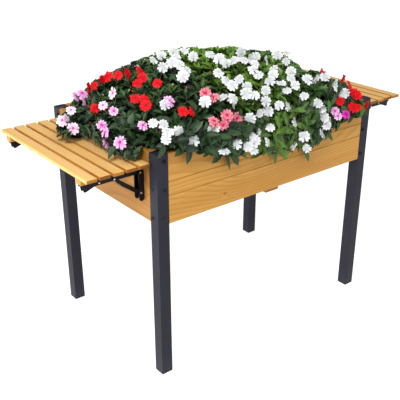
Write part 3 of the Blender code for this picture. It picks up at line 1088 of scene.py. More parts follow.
    def add_bracket_heads(self) -> None:
        """Puts the bright rivets on each bracket, and the screws that hold it."""
        rivet = self.model_dome(self.rivet_radius, self.rivet_height, cross=False)
        screw = self.model_dome(self.screw_radius, self.screw_height, cross=True)
        steel = BareSteel().material("zinc_plate")
        for side in Side:
            joints = [j for j in frame["joints"] if j["name"].startswith(side.word)]
            pivots = {j["child"]: Vector(j["pos_m"]) for j in joints}
            shelf_pivot = pivots[f"{side.word}_shelf"]
            strut_pivot = pivots[f"{side.word}_struts"]
            strut_top = Vector((side.value * self.strut_top[0], 0, self.strut_top[1]))
            arm_middle = Vector((side.value * self.arm_middle[0], 0, self.arm_middle[1]))
            low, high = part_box(f"{side.word}_wall_plate_front")
            plate_u = (low.x if side.value > 0 else high.x) + side.value * self.plate_screw_base
            for face in Face:
                middle = Vector((0, face.value * self.bracket_y, 0))
                outfits = {
                    ("root", "plate_rivets"): ([shelf_pivot, strut_pivot], self.plate_face),
                    (f"{side.word}_struts", "strut_rivets"): ([strut_top], self.strut_face),
                    (f"{side.word}_shelf", "arm_rivets"): ([arm_middle], self.arm_face),
                }
                for (body, word), (points, reach) in outfits.items():
                    places = []
                    for point in points:
                        for way in (-1, 1):
                            outward = Vector((0, way, 0))
                            places.append(aim(outward, point + middle + outward * reach))
                    piece = stamp(rivet, f"{side.word}_{word}_{face.word}", places)
                    present(piece, steel, body)
                outward = Vector((side.value, 0, 0))
                places = [aim(outward, Vector((plate_u, middle.y, z))) for z in self.plate_screws]
                piece = stamp(screw, f"{side.word}_plate_screws_{face.word}", places)
                present(piece, steel, "root")
                places = [aim(-UP, Vector((side.value * u, middle.y, self.arm_screw_z)))
                          for u in self.arm_screws]
                piece = stamp(screw, f"{side.word}_arm_screws_{face.word}", places)
                present(piece, steel, f"{side.word}_shelf")
        bpy.data.objects.remove(rivet)
        bpy.data.objects.remove(screw)

    def add_flanges(self) -> None:
        """Puts the arms' black flanges against the battens, where they show between the slats."""
        material = self.bracket_coat.material("flange_coat")
        for side in Side:
            for face in Face:
                low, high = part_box(f"{side.word}_batten_{face.word}")
                outer = high.y if face.value > 0 else low.y
                size = Vector((self.flange_ends[1] - self.flange_ends[0], self.flange,
                               self.flange_width))
                middle = Vector((side.value * sum(self.flange_ends) / 2,
                                 outer + face.value * (self.flange / 2 - self.flange_sunk),
                                 (low.z + high.z) / 2))
                bpy.ops.mesh.primitive_cube_add(size=1.0, location=middle)
                flange = bpy.context.object
                flange.name = f"{side.word}_arm_flange_{face.word}"
                flange.scale = size
                settle(flange)
                with editing(flange):
                    bpy.ops.mesh.select_all(action="SELECT")
                    bpy.ops.mesh.bevel(offset=0.35 * MM, segments=2, affect="EDGES")
                present(flange, material, f"{side.word}_shelf")

    def add_all(self) -> None:
        """Finishes all the metal."""
        self.dress_frame()
        self.add_bolts()
        self.add_bracket_heads()
        self.add_flanges()


class Blades:
    """Copies of one thin blade, a leaf or a petal, gathered into one mesh.

    The master lies along +Y from 0 to 1, is 1 wide at its widest and faces +Z.
    """

    UV_NAME = "blade"
    # Name of the attribute with each blade's place between its two colours; on leaves it carries
    # painted light and shade.
    TONE_NAME = "tone"

    def __init__(self, master: bpy.types.Object) -> None:
        """Reads the master's mesh.

        Args:
            master: The modelled blade, with its UV map.
        """
        mesh = master.data
        self.points = np.array([v.co for v in mesh.vertices])
        self.corners = np.array([loop.vertex_index for loop in mesh.loops])
        self.sizes = np.array([face.loop_total for face in mesh.polygons])
        layer = mesh.uv_layers[self.UV_NAME].data
        self.uvs = np.array([item.uv for item in layer])
        self.copies: list[np.ndarray] = []
        self.tones: list[float] = []

    def shape(self, base: Vector, along: Vector, facing: Vector, length: float, width: float,
              droop: float = 0.0, bend: float = 0.0) -> np.ndarray:
        """Works out one copy's points.

        Args:
            base: Where the blade starts.
            along: Its direction.
            facing: The way that its upper side faces, square to along.
            length: Its length.
            width: Its width.
            droop: How far its tip sinks, as a share of its length.
            bend: How far its tip rises towards facing, as a share of its length.

        Returns:
            The points.
        """
        side = np.array(along.cross(facing))
        across, forth, height = self.points.T
        shaped = np.array(base) + np.outer(across * width, side)
        shaped = shaped + np.outer(forth * length, np.array(along))
        lift = height * length + bend * length * forth ** 2
        shaped = shaped + np.outer(lift, np.array(facing))
        return shaped - np.outer(droop * length * forth ** 2, np.array(UP))

    def add(self, shaped: np.ndarray, tone: float) -> None:
        """Keeps one copy, with its place between the two colours of its finish, which on leaves is
        partly painted light and shade.
        """
        self.copies.append(shaped)
        self.tones.append(tone)

    def build(self, name: str) -> bpy.types.Object:
        """Makes the mesh of all the copies.

        Args:
            name: The new piece's name.

        Returns:
            The piece.
        """
        count = len(self.copies)
        step = len(self.points)
        shifts = np.repeat(np.arange(count) * step, len(self.corners))
        corners = np.tile(self.corners, count) + shifts
        sizes = np.tile(self.sizes, count)
        mesh = bpy.data.meshes.new(name)
        mesh.vertices.add(count * step)
        mesh.vertices.foreach_set("co", np.concatenate(self.copies).astype(np.float32).ravel())
        mesh.loops.add(len(corners))
        mesh.loops.foreach_set("vertex_index", corners.astype(np.int32))
        mesh.polygons.add(len(sizes))
        mesh.polygons.foreach_set("loop_start", (np.cumsum(sizes) - sizes).astype(np.int32))
        mesh.update(calc_edges=True)
        layer = mesh.uv_layers.new(name=self.UV_NAME)
        layer.data.foreach_set("uv", np.tile(self.uvs, (count, 1)).astype(np.float32).ravel())
        tone = mesh.attributes.new(self.TONE_NAME, "FLOAT", "POINT")
        tone.data.foreach_set("value", np.repeat(self.tones, step).astype(np.float32))
        mesh.validate()
        piece = link(name, mesh)
        smooth(piece, 80)
        return piece


@dataclass
class BladeShape:
    """The outline and folds of a leaf or a petal, modelled once from a grid."""

    name: str
    rows: tuple[float, ...]
    columns: int
    width_at: Callable[[float], float]
    fold: float
    thickness: float
    notch: float = 0.0

    def model(self) -> bpy.types.Object:
        """Models the blade as a thin closed body.

        Returns:
            The master blade, along +Y, with its UV map.
        """
        bpy.ops.mesh.primitive_grid_add(x_subdivisions=self.columns,
                                        y_subdivisions=len(self.rows) - 1, size=1.0)
        blade = settle(bpy.context.object)
        blade.name = self.name
        count = len(self.rows) - 1
        self.unwrap(blade)
        with editing(blade):
            for number, share in enumerate(self.rows):
                height = number / count - 0.5
                pick(blade, "VERT", lambda v, h=height: abs(v.co.y - h) < 0.1 / count
                     and not v.hide)
                bpy.ops.transform.resize(value=(max(self.width_at(share), 0.004), 1, 1),
                                         center_override=(0, height, 0))
                bpy.ops.transform.translate(value=(0, 10 + share - height, 0))
            bpy.ops.mesh.select_all(action="SELECT")
            bpy.ops.transform.translate(value=(0, -10, 0))
            self.crease(blade)
            bpy.ops.mesh.select_all(action="SELECT")
            bpy.ops.mesh.duplicate()
            bpy.ops.mesh.flip_normals()
            mesh = bmesh.from_edit_mesh(blade.data)
            layer = mesh.loops.layers.uv.active
            for face in mesh.faces:
                if face.select:
                    for loop in face.loops:
                        loop[layer].uv.y += 2
            for vertex in mesh.verts:
                if vertex.select and not vertex.is_boundary:
                    vertex.co.z -= self.thickness
            bmesh.update_edit_mesh(blade.data)
            bpy.ops.mesh.select_all(action="SELECT")
            bpy.ops.mesh.remove_doubles(threshold=0.0001)
        return blade

    def unwrap(self, blade: bpy.types.Object) -> None:
        """Gives the flat grid a UV map that runs across in U and along in V.

        Args:
            blade: The flat grid.
        """
        while blade.data.uv_layers:
            blade.data.uv_layers.remove(blade.data.uv_layers[0])
        layer = blade.data.uv_layers.new(name=Blades.UV_NAME)
        count = len(self.rows) - 1
        for loop in blade.data.loops:
            place = blade.data.vertices[loop.vertex_index].co
            row = round((place.y + 0.5) * count)
            layer.data[loop.index].uv = (place.x + 0.5, self.rows[row])

    def crease(self, blade: bpy.types.Object) -> None:
        """Folds the blade along its midrib, and notches its end.

        Args:
            blade: The blade, open in edit mode.
        """
        mesh = bmesh.from_edit_mesh(blade.data)
        for vertex in mesh.verts:
            across = abs(vertex.co.x)
            vertex.co.z += self.fold * across
            if vertex.co.y > 0.98:
                vertex.co.y -= self.notch * max(0.0, 1 - across / 0.2)
        bmesh.update_edit_mesh(blade.data)


def leaf_width(share: float) -> float:
    """A leaf's width at a share of its length: a stalk, a broad blade and a drawn-out tip.

    Args:
        share: The share of the length, from the base.

    Returns:
        The width there.
    """
    if share < 0.12:
        return 0.08
    part = (share - 0.12) / 0.88
    return 0.08 * (1 - part) + 2.62 * part ** 0.62 * (1 - part) ** 0.88


def petal_width(share: float) -> float:
    """A petal's width at a share of its length: a narrow claw that opens into a broad end."""
    return 0.14 + 0.86 * math.sin(min(share * 1.22, 1.0) * math.pi / 2) ** 1.5 * (
        1 - 0.45 * max(0.0, (share - 0.75) / 0.25) ** 2)


class Variety(Enum):
    """The colours of flower in the bed."""

    WHITE = "white"
    RED = "red"
    BLUSH = "blush"
    PALE = "pale"
    CORAL = "coral"
    MAGENTA = "magenta"


@dataclass(frozen=True)
class Shoot:
    """The tip of one stem, where leaves crowd in a rosette."""

    plant: str
    tip: Vector
    axis: Vector


def column_of(plant: str) -> str:
    """The left, middle or right in a plant's name."""
    return plant.rsplit("_", 1)[1]


def place_of(plant: str) -> str:
    """A plant's place in the bed, as the names of its pieces begin."""
    return plant.removeprefix("plant_")


class Canopy:
    """The outer surface of the six CAD plants, which the leaves and flowers follow."""

    def __init__(self) -> None:
        """Gathers the surfaces of the plants."""
        self.plants = sorted(name for name in frame["nodes"] if name.startswith("plant_"))
        points: list[Vector] = []
        faces: list[tuple[int, ...]] = []
        self.owners: list[str] = []
        for name in self.plants:
            mesh = frame["nodes"][name].data
            start = len(points)
            points += [v.co.copy() for v in mesh.vertices]
            faces += [tuple(start + i for i in face.vertices) for face in mesh.polygons]
            self.owners += [name] * len(mesh.polygons)
        self.tree = BVHTree.FromPolygons(points, faces)
        self.points = points
        self.faces = faces

    def hit(self, studio: Studio, across: float, down: float) -> tuple[Vector, Vector, str]:
        """Finds the place on the plants that a pixel of the photograph shows.

        Args:
            studio: The camera.
            across: The pixel's distance from the left edge.
            down: The pixel's distance from the top edge.

        Returns:
            The place, the outward direction there and the plant's name. A pixel just off the
            outline takes the nearest place below it.
        """
        place, normal, index, _ = self.tree.ray_cast(studio.place, studio.ray(across, down))
        drop = 0.0
        middle = studio.image_pixels / 2
        while place is None and drop < 60:
            drop += 1.0
            inwards = math.copysign(min(drop * 0.5, 12.0), middle - across)
            direction = studio.ray(across + inwards, down + drop)
            place, normal, index, _ = self.tree.ray_cast(studio.place, direction)
        if drop and place is not None:
            far = (place - studio.place).length
            place = studio.place + studio.ray(across, down) * far
        return place, normal, self.owners[index]

    def open_faces(self) -> tuple[list[int], list[float]]:
        """The faces that leaves can grow from, with their areas: not those that face the bed, the
        soil, the shelf or the next plant.

        Returns:
            The faces' numbers, and their areas.
        """
        kept, areas = [], []
        for index, corners in enumerate(self.faces):
            a, b, c = (self.points[i] for i in corners[:3])
            normal = (b - a).cross(c - a)
            area = normal.length / 2
            if area < 1e-9:
                continue
            normal.normalize()
            middle = (a + b + c) / 3
            if normal.z < -0.3 or (normal.y > 0.5 and middle.y < -0.2):
                continue
            if self.tree.ray_cast(middle + normal * 0.1 * MM, normal, 5 * MM)[0]:
                continue
            kept.append(index)
            areas.append(area)
        return kept, areas

    def scatter(self, spacing: float, tries: int, seed: int) -> list[tuple[Vector, Vector, str]]:
        """Spreads places over the open surface, no two nearer than the spacing.

        Args:
            spacing: The least distance between two places.
            tries: How many places are tried.
            seed: Fixes the draw.

        Returns:
            Each place with its outward direction and its plant.
        """
        draw = random.Random(seed)
        kept, areas = self.open_faces()
        found: list[tuple[Vector, Vector, str]] = []
        cells: dict[tuple[int, ...], list[Vector]] = {}
        for index in draw.choices(kept, weights=areas, k=tries):
            a, b, c = (self.points[i] for i in self.faces[index][:3])
            one, two = draw.random(), draw.random()
            if one + two > 1:
                one, two = 1 - one, 1 - two
            place = a + (b - a) * one + (c - a) * two
            cell = tuple(math.floor(value / spacing) for value in place)
            near = [other for dx in (-1, 0, 1) for dy in (-1, 0, 1) for dz in (-1, 0, 1)
                    for other in cells.get((cell[0] + dx, cell[1] + dy, cell[2] + dz), ())]
            if any((other - place).length < spacing for other in near):
                continue
            cells.setdefault(cell, []).append(place)
            found.append((place, (b - a).cross(c - a).normalized(), self.owners[index]))
        return found


@dataclass
class Room:
    """Where leaves may be: outside the boards, posts, legs, soil and shelves, not past the edges of
    the planting that the photograph shows, and not in front of the flowers that it shows."""

    studio: Studio
    outer: tuple[float, float] = (0.4655, 0.3075)
    inner: tuple[float, float] = (0.445, 0.287)
    post: tuple[float, float, float, float] = (0.384, 0.254, 0.430, 0.210)
    rim_z: float = 0.7615
    soil_top: float = 0.742
    shelf_reach: float = 0.276
    shelf_z: float = 0.7305
    rear: float = 0.352
    rear_low: float = 0.700
    left_reach: tuple[tuple[float, float], ...] = ((0.19, -0.442), (0.01, -0.575), (-0.25, -0.53))
    left_front: float = -0.47
    right_bend: float = -0.2
    right_front: float = 0.452
    right_rear: float = 0.51
    fringe: tuple[tuple[int, int], ...] = (
        (-480, -40), (-432, -20), (-405, -8), (-370, 8), (-337, 20), (-315, 24), (-273, 44),
        (-234, 64), (-191, 68), (-138, 66), (-99, 88), (-60, 96), (0, 90), (57, 116), (118, 126),
        (164, 120), (206, 95), (279, 70), (342, 59), (403, 52), (440, 38), (470, 16),
    )
    outline: tuple[tuple[int, int], ...] = (
        (53, 131), (55, 126), (60, 116), (68, 106), (74, 97), (80, 92), (88, 85), (92, 81),
        (100, 75), (108, 72), (116, 69), (124, 64), (132, 61), (140, 58), (148, 56), (156, 51),
        (164, 49), (172, 48), (180, 46), (196, 46), (204, 48), (212, 46), (228, 46), (236, 45),
        (244, 50), (252, 48), (262, 50), (276, 48), (284, 51), (290, 57), (294, 61), (299, 64),
        (303, 71), (308, 71), (311, 68), (315, 70), (326, 71), (330, 76), (334, 79), (340, 79),
        (346, 82), (351, 88), (355, 91), (360, 95), (365, 100), (368, 104),
    )
    bloom_pixels: float = 3.4
    blooms: list[tuple[float, float, float]] = field(default_factory=list)

    def holds(self, points: np.ndarray) -> bool:
        """Whether all points of a blade have room.

        Args:
            points: The blade's points, one in each row.

        Returns:
            Whether they all have room.
        """
        x, y, z = points.T
        u, v = np.abs(x), np.abs(y)
        post = (u > self.post[0]) & (v > self.post[1])
        post |= (u > self.post[2]) & (v > self.post[3])
        wall = (u > self.inner[0]) | (v > self.inner[1]) | post
        over_bed = (u < self.outer[0]) & (v < self.outer[1])
        blocked = over_bed & wall & (z < self.rim_z)
        blocked |= over_bed & (z < self.soil_top)
        blocked |= (u >= self.outer[0]) & (v < self.shelf_reach) & (z < self.shelf_z)
        edge = np.array(self.fringe) * MM
        lowest = self.rim_z - np.interp(x, edge[:, 0], edge[:, 1])
        blocked |= (y < -self.outer[1]) & ((z < lowest) | (y < -self.rear))
        blocked |= (y > self.outer[1]) & ((z < self.rear_low) | (y > self.rear))
        left = np.select([y > limit for limit, _ in self.left_reach],
                         [reach for _, reach in self.left_reach], self.left_front)
        right = np.where(y < self.right_bend, self.right_front, self.right_rear)
        blocked |= (x < left) | (x > right)
        across, down = self.studio.pixels(points)
        outline = np.array(self.outline)
        blocked |= down < np.interp(across, outline[:, 0], outline[:, 1])
        blocked |= (across < outline[0, 0]) | (across > outline[-1, 0])
        if blocked.any():
            return False
        if not self.blooms:
            return True
        shown = np.array(self.blooms)
        far = np.linalg.norm(points - np.array(self.studio.place), axis=1)
        apart = np.hypot(across[:, None] - shown[:, 0], down[:, None] - shown[:, 1])
        return not ((apart < self.bloom_pixels) & (far[:, None] < shown[:, 2])).any()

    def keep_clear(self, flower: Vector) -> None:
        """Keeps leaves out of the camera's view of a flower.

        Args:
            flower: The flower's place.
        """
        across, down = self.studio.pixels(np.array([flower]))
        far = (flower - self.studio.place).length + 6 * MM
        self.blooms.append((float(across[0]), float(down[0]), far))

    def open_at(self, place: Vector) -> bool:
        """Whether one place has room."""
        return self.holds(np.array([place]))


@dataclass
class Planting:
    """The six plants: stems, leaves, buds and flowers, and the soil that they grow in."""

    studio: Studio
    room: "Room"
    shoot_spacing: float = 42 * MM
    shoot_depth: tuple[float, float] = (20 * MM, 38 * MM)
    leaf_length: float = 60 * MM
    leaf_slimness: float = 0.36
    flower_width: float = 34 * MM
    flower_spacing: float = 55 * MM
    flower_gap: float = 50 * MM
    petals: tuple[tuple[float, float, float], ...] = (
        (90, 0.88, 0.9), (19, 0.98, 0.96), (161, 0.98, 0.96), (-52, 1.08, 1.08),
        (-128, 1.08, 1.08),
    )
    heart_radius: float = 1.5 * MM
    bud_radius: float = 2.7 * MM
    bud_share: float = 0.24
    stem_thickness: tuple[float, float] = (8.5 * MM, 3.0 * MM)
    stalk_thickness: tuple[float, float] = (1.5 * MM, 2.0 * MM)
    bud_stalk_thickness: tuple[float, float] = (1.6 * MM, 1.2 * MM)
    leaf_hold: float = 6 * MM
    leaf_tries: tuple[tuple[float, float], ...] = (
        (1.0, 0.0), (1.0, 0.25), (1.0, 0.55), (0.7, 0.0), (0.7, 0.4), (0.7, 1.0),
    )
    curtain_tries: int = 1500
    curtain_ends: tuple[float, float] = (-0.452, 0.448)
    least_leaves: int = 5
    soil_z: float = 735 * MM
    soil_inset: float = 6 * MM
    soil_cells: tuple[int, int] = (110, 70)
    lump_scale: float = 0.022
    lump_height: float = 8 * MM
    white_spots: tuple[tuple[int, int], ...] = (
        (153, 60), (161, 55), (174, 51), (184, 51), (193, 56), (163, 67), (172, 62), (180, 65),
        (176, 58), (186, 71), (183, 76), (165, 104), (153, 123), (163, 124), (168, 132),
        (179, 131), (166, 139), (193, 140), (210, 54), (219, 58), (226, 63), (234, 60),
        (243, 60), (241, 52), (251, 58), (256, 56), (255, 63), (218, 73), (226, 80), (232, 85),
        (239, 79), (253, 69), (259, 75), (247, 86), (246, 93), (255, 95), (266, 90), (270, 80),
        (274, 69), (273, 74), (277, 54), (286, 61), (291, 71), (281, 83), (287, 90), (291, 78),
        (295, 85), (205, 101), (223, 97), (233, 98), (266, 101), (279, 105), (260, 113),
        (268, 111), (250, 118), (270, 127), (214, 128), (252, 137), (255, 140), (248, 146),
        (253, 149), (236, 143), (224, 151), (307, 79), (325, 77), (304, 96), (318, 103),
        (322, 108), (324, 117), (327, 125), (304, 136), (307, 148), (344, 93),
    )
    turned_white: tuple[tuple[int, int], ...] = (
        (266, 60), (288, 106), (295, 122), (268, 141), (294, 146), (316, 79), (330, 122),
        (322, 133), (258, 132), (234, 104), (335, 83), (336, 87),
    )
    red_spots: tuple[tuple[int, int], ...] = (
        (94, 85), (107, 76), (118, 75), (140, 69), (142, 77), (137, 83), (157, 83), (135, 98),
        (144, 99), (146, 105), (95, 108), (183, 111), (354, 92), (357, 95), (340, 101),
        (353, 107), (357, 107),
    )
    turned_red: tuple[tuple[int, int], ...] = (
        (89, 87), (102, 79), (127, 73), (192, 111), (343, 79), (350, 85), (322, 72), (366, 105),
    )
    blush_spots: tuple[tuple[int, int], ...] = (
        (82, 93), (114, 111), (102, 125), (120, 142), (143, 125), (169, 101), (335, 111),
        (338, 116),
    )
    turned_blush: tuple[tuple[int, int], ...] = ((76, 96), (84, 99), (105, 132), (106, 143))
    pale_spots: tuple[tuple[int, int], ...] = ((103, 105), (71, 110), (62, 120), (73, 128))
    turned_pale: tuple[tuple[int, int], ...] = ((113, 93), (66, 118))
    coral_spots: tuple[tuple[int, int], ...] = (
        (205, 93), (214, 97), (214, 121), (223, 125), (228, 119), (237, 118), (227, 115),
    )
    magenta_spots: tuple[tuple[int, int], ...] = ((346, 114),)
    front_leaves: tuple[tuple[int, int, int, int], ...] = (
        (158, 159, 164, 146), (156, 152, 150, 138), (174, 157, 186, 142), (188, 165, 189, 147),
        (203, 158, 212, 145), (175, 149, 171, 138), (212, 164, 221, 151), (231, 170, 225, 156),
        (239, 166, 231, 151), (247, 158, 238, 148), (251, 159, 262, 147), (276, 165, 273, 150),
        (289, 159, 278, 149), (293, 160, 298, 149), (310, 162, 303, 149), (320, 145, 317, 135),
        (333, 141, 325, 132), (313, 149, 310, 138),
    )
    shelf_leaves: tuple[tuple[int, int, int, int], ...] = (
        (95, 150, 105, 142), (108, 160, 115, 147), (123, 160, 133, 146), (134, 160, 142, 146),
        (56, 130, 61, 123), (57, 137, 65, 132), (63, 141, 68, 132), (67, 141, 71, 133),
    )

    def grow(self, piece: bpy.types.Object, material: bpy.types.Material) -> None:
        """Dresses a piece of a plant, which stays with the bed."""
        present(piece, material, "root")

    def add_shoots(self, canopy: Canopy) -> list[Shoot]:
        """Chooses the tips of the stems, just under the outer surface.

        Args:
            canopy: The plants' outer surface.

        Returns:
            The shoots.
        """
        draw = random.Random(11)
        shoots = []
        for place, normal, plant in canopy.scatter(self.shoot_spacing, 16000, seed=5):
            if place.y < -311 * MM and place.z < 775 * MM:
                continue
            steep = 1 - max(0.0, normal.z)
            axis = normal + UP * (0.25 + 0.2 * steep)
            axis += Vector((draw.gauss(0, 0.25), draw.gauss(0, 0.25), draw.gauss(0, 0.12)))
            inset = draw.uniform(*self.shoot_depth)
            if not self.room.open_at(place - normal * inset):
                inset = 6 * MM
            shoots.append(Shoot(plant, place - normal * inset, axis.normalized()))
        return shoots

    def place_leaf(self, blades: Blades, base: Vector, along: Vector, facing: Vector,
                   length: float, droop: float, tone: float, draw: random.Random) -> bool:
        """Adds one leaf, raised a little where it would enter the bed or a shelf.

        Args:
            blades: The plant's leaves.
            base: Where the leaf leaves its stem.
            along: Its direction.
            facing: Roughly the way that its upper side faces.
            length: Its length.
            droop: How far its tip sinks.
            tone: Its place between the dark and the bright green, partly painted light and shade.
            draw: The source of chance.

        Returns:
            Whether the leaf found room.
        """
        width = length * self.leaf_slimness * draw.uniform(0.85, 1.2)
        tone = min(1.0, max(0.0, tone + draw.gauss(0, 0.24)))
        for size, lift in self.leaf_tries:
            raised = (along + UP * lift).normalized()
            upper = facing - raised * facing.dot(raised)
            if upper.length < 0.05:
                continue
            shaped = blades.shape(base, raised, upper.normalized(), length * size, width * size,
                                  droop * (1 - 0.6 * lift))
            if self.room.holds(shaped):
                blades.add(shaped, tone)
                return True
        return False

    def leaf_out(self, blades: Blades, shoot: Shoot, path: Sequence[Vector],
                 draw: random.Random) -> int:
        """Grows the rosette at a shoot's tip, and the older leaves lower on its stem.

        Args:
            blades: The plant's leaves.
            shoot: The shoot.
            path: Its stem, from the soil to the tip.
            draw: The source of chance.

        Returns:
            How many leaves of the rosette found room.
        """
        one = shoot.axis.orthogonal().normalized()
        two = shoot.axis.cross(one)
        turn = draw.uniform(0, 2 * math.pi)
        golden = math.radians(137.5)
        height = min(1.0, max(0.0, (shoot.tip.z - 0.78) / 0.15))
        count = draw.randint(11, 14)
        grown = 0
        for number in range(count):
            share = number / (count - 1)
            turn += golden + draw.gauss(0, 0.12)
            polar = math.radians(22 + 74 * share ** 0.75 + draw.gauss(0, 7))
            outward = one * math.cos(turn) + two * math.sin(turn)
            along = (shoot.axis * math.cos(polar) + outward * math.sin(polar)).normalized()
            base = shoot.tip - shoot.axis * (1 + 26 * share) * MM
            length = self.leaf_length * (0.4 + 0.64 * share ** 0.6) * draw.uniform(0.86, 1.12)
            droop = (0.05 + 0.28 * share) * draw.uniform(0.5, 1.5)
            # Painted light: leaves higher on the planting are brighter; leaves nearer the shoot's
            # tip are brighter too.
            tone = 0.16 + 0.44 * height + 0.28 * (1 - share)
            grown += self.place_leaf(blades, base, along, shoot.axis + UP * 0.15, length, droop,
                                     tone, draw)
        # The older leaves lower down the stem take the dark end of the greens, painted shade deep
        # in the planting.
        for number in range(5):
            share = draw.uniform(0.62, 0.93)
            place = share * (len(path) - 1)
            before, after = path[int(place)], path[int(place) + 1]
            base = before.lerp(after, place - int(place))
            turn += golden
            level = Vector((math.cos(turn), math.sin(turn), draw.uniform(-0.35, 0.35)))
            along = (level + shoot.axis * 0.35).normalized()
            length = self.leaf_length * draw.uniform(0.95, 1.2)
            self.place_leaf(blades, base, along, shoot.axis + UP * 0.5, length,
                            draw.uniform(0.1, 0.35), 0.12 * height - 0.1, draw)
        return grown

    def add_curtain(self, blades: dict[str, Blades], draw: random.Random) -> None:
        """Hangs leaves over the front edge, down to the line that the photograph shows.

        Args:
            blades: Each plant's leaves.
            draw: The source of chance.
        """
        edge = np.array(self.room.fringe) * MM
        top = self.room.rim_z + 50 * MM
        for _ in range(self.curtain_tries):
            x = draw.uniform(*self.curtain_ends)
            lowest = self.room.rim_z - float(np.interp(x, edge[:, 0], edge[:, 1]))
            length = self.leaf_length * draw.uniform(0.6, 1.1)
            z = lowest + (top - lowest) * draw.random() ** 0.8
            height = (z - lowest) / (top - lowest)
            outwards = draw.random() ** 1.5
            base = Vector((x, -self.room.outer[1] - (4 + (14 + 2 * height) * outwards) * MM, z))
            turn = draw.gauss(0, 0.7 + 1.1 * height)
            along = Vector((math.sin(turn), -draw.uniform(0.0, 0.7), -math.cos(turn))).normalized()
            facing = Vector((draw.gauss(0, 0.5), -1, draw.uniform(-0.1, 0.9)))
            upper = (facing - along * facing.dot(along)).normalized()
            width = length * self.leaf_slimness * draw.uniform(0.9, 1.2)
            shaped = blades["plant_front_left"].shape(base, along, upper, length, width, 0.12,
                                                      draw.uniform(-0.2, 0.0))
            if self.room.holds(shaped):
                # Painted shade: hanging leaves close to the board are darker, those further out
                # brighter.
                tone = draw.gauss(0.5 * outwards - 0.06, 0.12)
                blades[self.plant_over(base)].add(shaped, min(1.0, max(0.0, tone)))

    def add_fringe(self, blades: dict[str, Blades], draw: random.Random) -> None:
        """Hangs the single leaves that the photograph shows against the front and over the shelf.

        Args:
            blades: Each plant's leaves.
            draw: The source of chance.
        """
        for tip_across, tip_down, across, down in self.front_leaves:
            tip = self.studio.point(tip_across, tip_down, Vector((0, -1, 0)), 324 * MM)
            base = self.studio.point(across, down, Vector((0, -1, 0)), 313 * MM)
            self.hang(blades[self.plant_over(tip)], base, tip, Vector((0, -1, 0.25)), draw)
        for tip_across, tip_down, across, down in self.shelf_leaves:
            tip = self.studio.point(tip_across, tip_down, UP, 736 * MM)
            base = self.studio.point(across, down, UP, 768 * MM)
            self.hang(blades[self.plant_over(tip)], base, tip, Vector((-0.3, -0.3, 1)), draw)

    def plant_over(self, place: Vector) -> str:
        """The name of the plant whose share of the bed a place belongs to.

        Args:
            place: The place.

        Returns:
            The plant's name.
        """
        face = Face.FRONT if place.y < 0 else Face.REAR
        low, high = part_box(f"plant_{face.word}_middle")
        column = "left" if place.x < low.x else "right" if place.x > high.x else "middle"
        return f"plant_{face.word}_{column}"

    def hang(self, blades: Blades, base: Vector, tip: Vector, facing: Vector,
             draw: random.Random) -> None:
        """Adds one leaf between two places.

        Args:
            blades: The plant's leaves.
            base: Where the leaf starts.
            tip: Where it ends.
            facing: Roughly the way that its upper side faces.
            draw: The source of chance.
        """
        along = (tip - base).normalized()
        length = max(self.leaf_length * 0.9, (tip - base).length * 1.15)
        facing = facing + Vector((draw.gauss(0, 0.2), draw.gauss(0, 0.1), draw.gauss(0, 0.1)))
        upper = (facing - along * facing.dot(along)).normalized()
        width = length * self.leaf_slimness * draw.uniform(1.0, 1.2)
        shaped = blades.shape(tip - along * length, along, upper, length, width, 0.0,
                              draw.uniform(-0.1, 0.02))
        blades.add(shaped, draw.uniform(0.15, 0.75))

    def drop_loose(self, blades: dict[str, Blades]) -> None:
        """Takes away each leaf that is near no other leaf, so that none hangs in the air.

        Args:
            blades: Each plant's leaves.
        """
        leaves = [(plant, shaped) for plant, kept in blades.items() for shaped in kept.copies]
        owners = [order for order, (_, shaped) in enumerate(leaves) for _ in shaped]
        tree = KDTree(len(owners))
        for index, point in enumerate(np.concatenate([shaped for _, shaped in leaves])):
            tree.insert(point, index)
        tree.balance()
        held = [any(owners[index] != order for point in shaped
                    for _, index, _ in tree.find_range(point, self.leaf_hold))
                for order, (_, shaped) in enumerate(leaves)]
        order = 0
        for kept in blades.values():
            marks = held[order:order + len(kept.copies)]
            order += len(marks)
            kept.copies = [shaped for shaped, mark in zip(kept.copies, marks) if mark]
            kept.tones = [tone for tone, mark in zip(kept.tones, marks) if mark]
        LOG.info("leaves: %d loose ones left out", held.count(False))

    def crown(self, plant: str) -> Vector:
        """Where a plant's stems leave the soil.

        Args:
            plant: The plant's name.

        Returns:
            The place.
        """
        low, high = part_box(plant)
        x = max(-0.31, min(0.31, (low.x + high.x) / 2))
        y = math.copysign(0.14, (low.y + high.y) / 2)
        return Vector((x, y, self.soil_z))

    def stem_path(self, start: Vector, end: Vector, leaving: Vector, count: int) -> list[Vector]:
        """A smooth path that rises from the start, clears the rim and arrives at a tip.

        Args:
            start: Where the path begins.
            end: Where it ends.
            leaving: The direction in which it arrives.
            count: How many points it has.

        Returns:
            The points.
        """
        reach = (end - start).length
        rise = start + UP * max(0.4 * reach, self.room.rim_z + 40 * MM - start.z)
        before = end - leaving * 0.3 * reach
        before.z = max(before.z, self.room.rim_z + 12 * MM)
        path = []
        for number in range(count):
            t = number / (count - 1)
            path.append(start * (1 - t) ** 3 + rise * 3 * t * (1 - t) ** 2
                        + before * 3 * t * t * (1 - t) + end * t ** 3)
        return path

